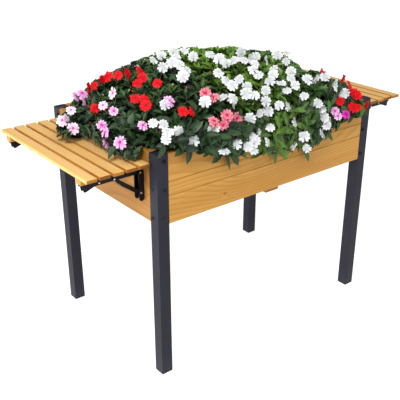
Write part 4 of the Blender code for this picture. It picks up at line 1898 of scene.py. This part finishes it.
    def tubes(self, name: str, paths: Sequence[tuple[Sequence[Vector], float, float]],
              sides: int) -> bpy.types.Object:
        """Makes round tapered stems along paths, as one mesh.

        Args:
            name: The new piece's name.
            paths: For each stem its points, its thickness where it starts and where it ends.
            sides: Half the number of its flat sides, less 2.

        Returns:
            The piece.
        """
        curve = bpy.data.curves.new(name, "CURVE")
        curve.dimensions = "3D"
        curve.bevel_depth = 1.0
        curve.bevel_resolution = sides
        curve.use_fill_caps = True
        for points, thick, thin in paths:
            spline = curve.splines.new("POLY")
            spline.points.add(len(points) - 1)
            for number, (point, place) in enumerate(zip(spline.points, points)):
                point.co = (*place, 1.0)
                point.radius = (thick + (thin - thick) * number / (len(points) - 1)) / 2
        activate(link(name, curve))
        bpy.ops.object.convert(target="MESH")
        piece = bpy.context.object
        piece.name = name
        smooth(piece, 60)
        return piece

    def shown(self, canopy: Canopy, spots: dict[Variety, Sequence[tuple[int, int]]]) -> Iterator[
            tuple[Variety, Vector, Vector, Vector, str]]:
        """Finds where the photograph's flowers stand.

        Args:
            canopy: The plants' outer surface.
            spots: The pixels of each variety's flowers.

        Yields:
            Each flower's variety, its place on the surface, the outward direction there, the
            direction to the camera and the plant's name.
        """
        for variety, places in spots.items():
            for across, down in places:
                place, normal, plant = canopy.hit(self.studio, across, down)
                back = (self.studio.place - place).normalized()
                yield variety, place, normal, back, plant

    def spots(self, canopy: Canopy) -> list[tuple[Variety, Vector, Vector, str]]:
        """Gathers all flowers: those of the photograph, and as many as fit on the hidden sides.

        Args:
            canopy: The plants' outer surface.

        Returns:
            Each flower's variety, place, facing and plant.
        """
        draw = random.Random(23)
        seen = {Variety.WHITE: self.white_spots, Variety.RED: self.red_spots,
                Variety.BLUSH: self.blush_spots, Variety.PALE: self.pale_spots,
                Variety.CORAL: self.coral_spots, Variety.MAGENTA: self.magenta_spots}
        turned = {Variety.WHITE: self.turned_white, Variety.RED: self.turned_red,
                  Variety.BLUSH: self.turned_blush, Variety.PALE: self.turned_pale}
        flowers = []
        for variety, place, normal, back, plant in self.shown(canopy, seen):
            jitter = Vector((draw.gauss(0, 0.3), draw.gauss(0, 0.3), draw.gauss(0, 0.2)))
            facing = (normal * 0.3 + back * 0.75 + UP * 0.2 + jitter).normalized()
            flowers.append((variety, place + back * 16 * MM, facing, plant))
        for variety, place, _, back, plant in self.shown(canopy, turned):
            sideways = back.cross(UP) * draw.choice((-1, 1))
            facing = (sideways + UP * draw.uniform(0.1, 0.5) + back * 0.35).normalized()
            flowers.append((variety, place + back * 16 * MM, facing, plant))
        taken = [place for _, place, _, _ in flowers]
        for place in taken:
            self.room.keep_clear(place)
        for place, normal, plant in canopy.scatter(self.flower_spacing, 6000, seed=31):
            back = (self.studio.place - place).normalized()
            uphill = (UP - normal * normal.z).normalized()
            top = place + normal * 10 * MM + uphill * self.flower_width / 2
            hidden = canopy.tree.ray_cast(top, back)[0] is not None
            if (normal.z < 0.1 and abs(place.y) < 0.3) or not hidden or not self.room.open_at(top):
                continue
            if any((place - other).length < self.flower_gap for other in taken):
                continue
            variety = self.variety_for(plant, draw)
            jitter = Vector((draw.gauss(0, 0.25), draw.gauss(0, 0.25), draw.gauss(0, 0.15)))
            facing = (normal * 0.8 + UP * 0.35 + jitter).normalized()
            flowers.append((variety, place + normal * 10 * MM, facing, plant))
        return flowers

    def variety_for(self, plant: str, draw: random.Random) -> Variety:
        """Draws a flower's colour by the plant that it grows on.

        Args:
            plant: The plant's name.
            draw: The source of chance.

        Returns:
            The variety.
        """
        mixes = {
            "left": ((Variety.RED, 5), (Variety.BLUSH, 4), (Variety.PALE, 2), (Variety.WHITE, 1)),
            "middle": ((Variety.WHITE, 12), (Variety.CORAL, 2), (Variety.RED, 1)),
            "right": ((Variety.WHITE, 7), (Variety.RED, 4), (Variety.BLUSH, 1)),
        }
        choices = mixes[column_of(plant)]
        return draw.choices([v for v, _ in choices], weights=[w for _, w in choices])[0]

    def petal_skins(self) -> dict[Variety, PetalSkin]:
        """The petals' colours: the blade, its edge and its eye, with the eye's reach.

        Returns:
            Each variety's finish.
        """
        return {
            Variety.WHITE: PetalSkin(srgb(184, 187, 190), srgb(222, 223, 225),
                                     srgb(190, 200, 150), 0.12),
            Variety.RED: PetalSkin(srgb(186, 0, 12), srgb(222, 4, 26), srgb(96, 0, 8), 0.12),
            Variety.BLUSH: PetalSkin(srgb(210, 128, 196), srgb(232, 194, 226),
                                     srgb(176, 4, 84), 0.22),
            Variety.PALE: PetalSkin(srgb(216, 184, 214), srgb(232, 218, 232),
                                    srgb(196, 60, 140), 0.2),
            Variety.CORAL: PetalSkin(srgb(204, 66, 92), srgb(230, 146, 162),
                                     srgb(176, 20, 54), 0.35),
            Variety.MAGENTA: PetalSkin(srgb(196, 24, 150), srgb(216, 66, 176),
                                       srgb(130, 4, 92), 0.3),
        }

    def heart_skins(self) -> dict[Variety, Succulent]:
        """The colours of the small columns at the flowers' centres.

        Returns:
            Each variety's finish.
        """
        return {
            Variety.WHITE: Succulent(srgb(196, 208, 140), srgb(226, 230, 206)),
            Variety.RED: Succulent(srgb(120, 10, 20), srgb(170, 40, 40)),
            Variety.BLUSH: Succulent(srgb(186, 30, 100), srgb(226, 120, 170)),
            Variety.PALE: Succulent(srgb(196, 70, 140), srgb(226, 150, 190)),
            Variety.CORAL: Succulent(srgb(190, 40, 70), srgb(220, 110, 120)),
            Variety.MAGENTA: Succulent(srgb(150, 16, 110), srgb(190, 60, 140)),
        }

    def add_flowers(self, flowers: Sequence[tuple[Variety, Vector, Vector, str]],
                    petal: bpy.types.Object, shoots: list[Shoot]) -> None:
        """Makes the petals, hearts and stalks of all flowers.

        Args:
            flowers: Each flower's variety, place, facing and plant.
            petal: The master petal.
            shoots: The shoots that the stalks grow from.
        """
        draw = random.Random(41)
        groups: dict[tuple[Variety, str], Blades] = {}
        stalks: dict[str, list[tuple[list[Vector], float, float]]] = {}
        hearts: dict[Variety, list[Matrix]] = {variety: [] for variety in Variety}
        for variety, place, facing, plant in flowers:
            blades = groups.setdefault((variety, plant), Blades(petal))
            self.add_flower(blades, variety, place, facing, draw)
            size = self.flower_width / 2
            hearts[variety].append(aim(facing, place + facing * 0.5 * MM))
            tips = [shoot for shoot in shoots if shoot.plant == plant]
            home = min(tips, key=lambda shoot: (shoot.tip - place).length)
            back = place - facing * 1.5 * MM
            root = home.tip - home.axis * 6 * MM
            bow = back - facing * size * 0.7 - UP * 4 * MM
            path = [back, back - facing * size * 0.35, (bow * 2 + root) / 3,
                    (bow + root * 2) / 3, root]
            stalks.setdefault(plant, []).append((path, *self.stalk_thickness))
        finishes = {variety: skin.material(f"{variety.value}_petal")
                    for variety, skin in self.petal_skins().items()}
        for (variety, plant), blades in groups.items():
            piece = blades.build(f"{place_of(plant)}_{variety.value}_flowers")
            self.grow(piece, finishes[variety])
        green = Succulent(srgb(96, 130, 60), srgb(150, 96, 74)).material("stalk_skin")
        for plant, paths in stalks.items():
            self.grow(self.tubes(f"{place_of(plant)}_flower_stalks", paths, 0), green)
        heart = self.model_drop(5, self.heart_radius, ((1, 0.5 * MM, (0.7, 0.7, 1.3)),))
        eyes = self.heart_skins()
        for variety, places in hearts.items():
            piece = stamp(heart, f"{variety.value}_flower_hearts", places)
            self.grow(piece, eyes[variety].material(f"{variety.value}_heart"))
        bpy.data.objects.remove(heart)

    def add_flower(self, blades: Blades, variety: Variety, place: Vector, facing: Vector,
                   draw: random.Random) -> None:
        """Sets the five petals of one flower round its heart, with its hood petal on top.

        Args:
            blades: The petals of this variety on this plant.
            variety: The flower's variety.
            place: Its centre.
            facing: The way that it faces.
            draw: The source of chance.
        """
        upper = UP - facing * facing.dot(UP)
        if upper.length < 0.2:
            upper = Vector((0, 1, 0)) - facing * facing.y
        upper.normalize()
        side = upper.cross(facing)
        roll = draw.gauss(0, 0.35)
        size = self.flower_width / 2 * draw.uniform(0.86, 1.14)
        cup = draw.uniform(-0.3, 0.1)
        tone = draw.random()
        rounds = 2 if variety is Variety.CORAL else 1
        for layer in range(rounds):
            share = 1.0 if layer == 0 else 0.62
            for order, (degrees, long, wide) in enumerate(self.petals):
                angle = math.radians(degrees + layer * 36) + roll + draw.gauss(0, 0.05)
                along = side * math.cos(angle) + upper * math.sin(angle)
                along = (along + facing * draw.gauss(0.04, 0.12)).normalized()
                base = place + facing * (0.35 * order + 1.2 * layer) * MM + along * 0.4 * MM
                lean = facing + along.cross(facing) * draw.gauss(0, 0.16)
                lean = (lean - along * lean.dot(along)).normalized()
                length = size * long * share * draw.uniform(0.94, 1.05)
                width = size * wide * share * draw.uniform(0.94, 1.06)
                bend = cup + draw.gauss(0, 0.07) + 0.3 * layer
                shaped = blades.shape(base, along, lean, length, width, 0.0, bend)
                blades.add(shaped, min(1.0, max(0.0, tone + draw.gauss(0, 0.3))))

    def model_drop(self, rings: int, radius: float, ends: Sequence[
            tuple[int, float, tuple[float, float, float]]]) -> bpy.types.Object:
        """Models a small drop along Z from a ball.

        Args:
            rings: How many rings the ball has.
            radius: Its radius.
            ends: For each shaped end 1 if it is the upper one or -1, where it starts and its scale.

        Returns:
            The drop.
        """
        bpy.ops.mesh.primitive_uv_sphere_add(segments=8, ring_count=rings, radius=radius)
        drop = settle(bpy.context.object)
        with editing(drop):
            for way, start, scale in ends:
                pick(drop, "VERT", lambda v, w=way, s=start: v.co.z * w > s)
                bpy.ops.transform.resize(value=scale, center_override=(0, 0, 0))
        activate(drop)
        bpy.ops.object.shade_smooth()
        return drop

    def add_buds(self, shoots: list[Shoot]) -> None:
        """Puts one or two buds on short stalks at many of the shoots.

        Args:
            shoots: The shoots.
        """
        draw = random.Random(57)
        bud = self.model_drop(6, self.bud_radius, ((1, 1.2 * MM, (0.62, 0.62, 1.9)),
                                                   (-1, 1.2 * MM, (0.75, 0.75, 1.2))))
        skins = {
            "green": Succulent(srgb(140, 168, 70), srgb(190, 204, 110)),
            "red": Succulent(srgb(196, 30, 60), srgb(226, 84, 104)),
        }
        places: dict[tuple[str, str], list[Matrix]] = {}
        stalks: list[tuple[list[Vector], float, float]] = []
        for shoot in shoots:
            if draw.random() > self.bud_share:
                continue
            hue = "red" if column_of(shoot.plant) == "left" and draw.random() < 0.7 else "green"
            for _ in range(draw.randint(1, 2)):
                lean = Vector((draw.gauss(0, 0.4), draw.gauss(0, 0.4), draw.gauss(0, 0.2)))
                way = (shoot.axis + lean).normalized()
                top = shoot.tip + way * draw.uniform(18, 28) * MM
                if not self.room.open_at(top):
                    continue
                places.setdefault((shoot.plant, hue), []).append(aim(way, top))
                path = [shoot.tip - shoot.axis * 4 * MM, shoot.tip + way * 10 * MM, top]
                stalks.append((path, *self.bud_stalk_thickness))
        finishes = {hue: skin.material(f"{hue}_bud") for hue, skin in skins.items()}
        for (plant, hue), spots in places.items():
            piece = stamp(bud, f"{place_of(plant)}_{hue}_buds", spots)
            self.grow(piece, finishes[hue])
        bpy.data.objects.remove(bud)
        piece = self.tubes("bud_stalks", stalks, 0)
        skin = Succulent(srgb(110, 140, 64), srgb(140, 110, 70))
        self.grow(piece, skin.material("bud_stalk_skin"))

    def skins(self) -> dict[str, LeafSkin]:
        """The leaf colours of the left, middle and right plants.

        Returns:
            The finish of each column's leaves.
        """
        return {
            "left": LeafSkin(srgb(8, 24, 16), srgb(52, 92, 36),
                             srgb(82, 116, 62), srgb(46, 70, 46)),
            "middle": LeafSkin(srgb(12, 40, 15), srgb(114, 162, 40),
                               srgb(140, 176, 84), srgb(78, 116, 54)),
            "right": LeafSkin(srgb(12, 36, 18), srgb(78, 126, 44),
                              srgb(116, 152, 78), srgb(68, 100, 56)),
        }

    def add_soil(self) -> None:
        """Lays the loose top of the soil inside the liner."""
        low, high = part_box("soil")
        size = high - low
        inset = self.soil_inset
        bpy.ops.mesh.primitive_grid_add(x_subdivisions=self.soil_cells[0],
                                        y_subdivisions=self.soil_cells[1], size=1.0)
        soil = bpy.context.object
        soil.name = "soil_crumbs"
        soil.scale = (size.x - 2 * inset, size.y - 2 * inset, 1)
        soil.location = ((low.x + high.x) / 2, (low.y + high.y) / 2, high.z + 3 * MM)
        settle(soil)
        lumps = bpy.data.textures.new("lumps", "CLOUDS")
        lumps.noise_scale = self.lump_scale
        lumps.noise_depth = 3
        displace = soil.modifiers.new("lumps", "DISPLACE")
        displace.texture = lumps
        displace.strength = self.lump_height
        displace.mid_level = 0.35
        bpy.ops.object.modifier_apply(modifier=displace.name)
        with editing(soil):
            bpy.ops.mesh.select_all(action="SELECT")
            bpy.ops.mesh.extrude_region_move(TRANSFORM_OT_translate={"value": (0, 0, 0)})
            bpy.ops.transform.resize(value=(1, 1, 0), center_override=(0, 0, high.z + 0.2 * MM))
            bpy.ops.mesh.select_all(action="SELECT")
            bpy.ops.mesh.normals_make_consistent(inside=False)
        smooth(soil, 50)
        material = Compost().material("compost")
        present(soil, material, "root")
        dress(frame["nodes"]["soil"], material)
        dress(frame["nodes"]["liner"], LinerCloth().material("liner_felt"))

    def add_all(self) -> None:
        """Grows everything."""
        self.add_soil()
        canopy = Canopy()
        leaf = BladeShape("leaf", (0.0, 0.12, 0.28, 0.48, 0.74, 1.0), 4, leaf_width,
                          fold=0.16, thickness=0.012).model()
        petal = BladeShape("petal", (0.0, 0.25, 0.5, 0.78, 1.0), 4, petal_width,
                           fold=-0.12, thickness=0.02, notch=0.22).model()
        flowers = self.spots(canopy)
        shoots = []
        draw = random.Random(3)
        leaves = {plant: Blades(leaf) for plant in canopy.plants}
        stems: dict[str, list[tuple[list[Vector], float, float]]] = {p: [] for p in canopy.plants}
        for shoot in self.add_shoots(canopy):
            crown = self.crown(shoot.plant)
            crown += Vector((draw.gauss(0, 22), draw.gauss(0, 18), 0)) * MM
            path = self.stem_path(crown, shoot.tip, shoot.axis, 8)
            if self.leaf_out(leaves[shoot.plant], shoot, path, draw) >= self.least_leaves:
                stems[shoot.plant].append((path, *self.stem_thickness))
                shoots.append(shoot)
        self.add_curtain(leaves, draw)
        self.add_fringe(leaves, draw)
        self.drop_loose(leaves)
        skins = {column: skin.material(f"{column}_leaf") for column, skin in self.skins().items()}
        stem_skin = Succulent(srgb(92, 118, 58), srgb(132, 84, 62)).material("stem_skin")
        for plant in canopy.plants:
            piece = leaves[plant].build(f"{place_of(plant)}_leaves")
            self.grow(piece, skins[column_of(plant)])
            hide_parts(plant)
            self.grow(self.tubes(f"{place_of(plant)}_stems", stems[plant], 1), stem_skin)
        self.add_flowers(flowers, petal, shoots)
        self.add_buds(shoots)
        bpy.data.objects.remove(leaf)
        bpy.data.objects.remove(petal)
        LOG.info("%d shoots", len(shoots))


def main() -> None:
    """Builds the finished look in order, and notes the sizes."""
    logging.basicConfig(level=logging.INFO, format="%(message)s")
    studio = Studio()
    studio.add_camera()
    studio.add_light()
    studio.add_floor()
    Timber().dress_all()
    Ironwork().add_all()
    Planting(studio, Room(studio)).add_all()


if __name__ == "__main__":
    main()
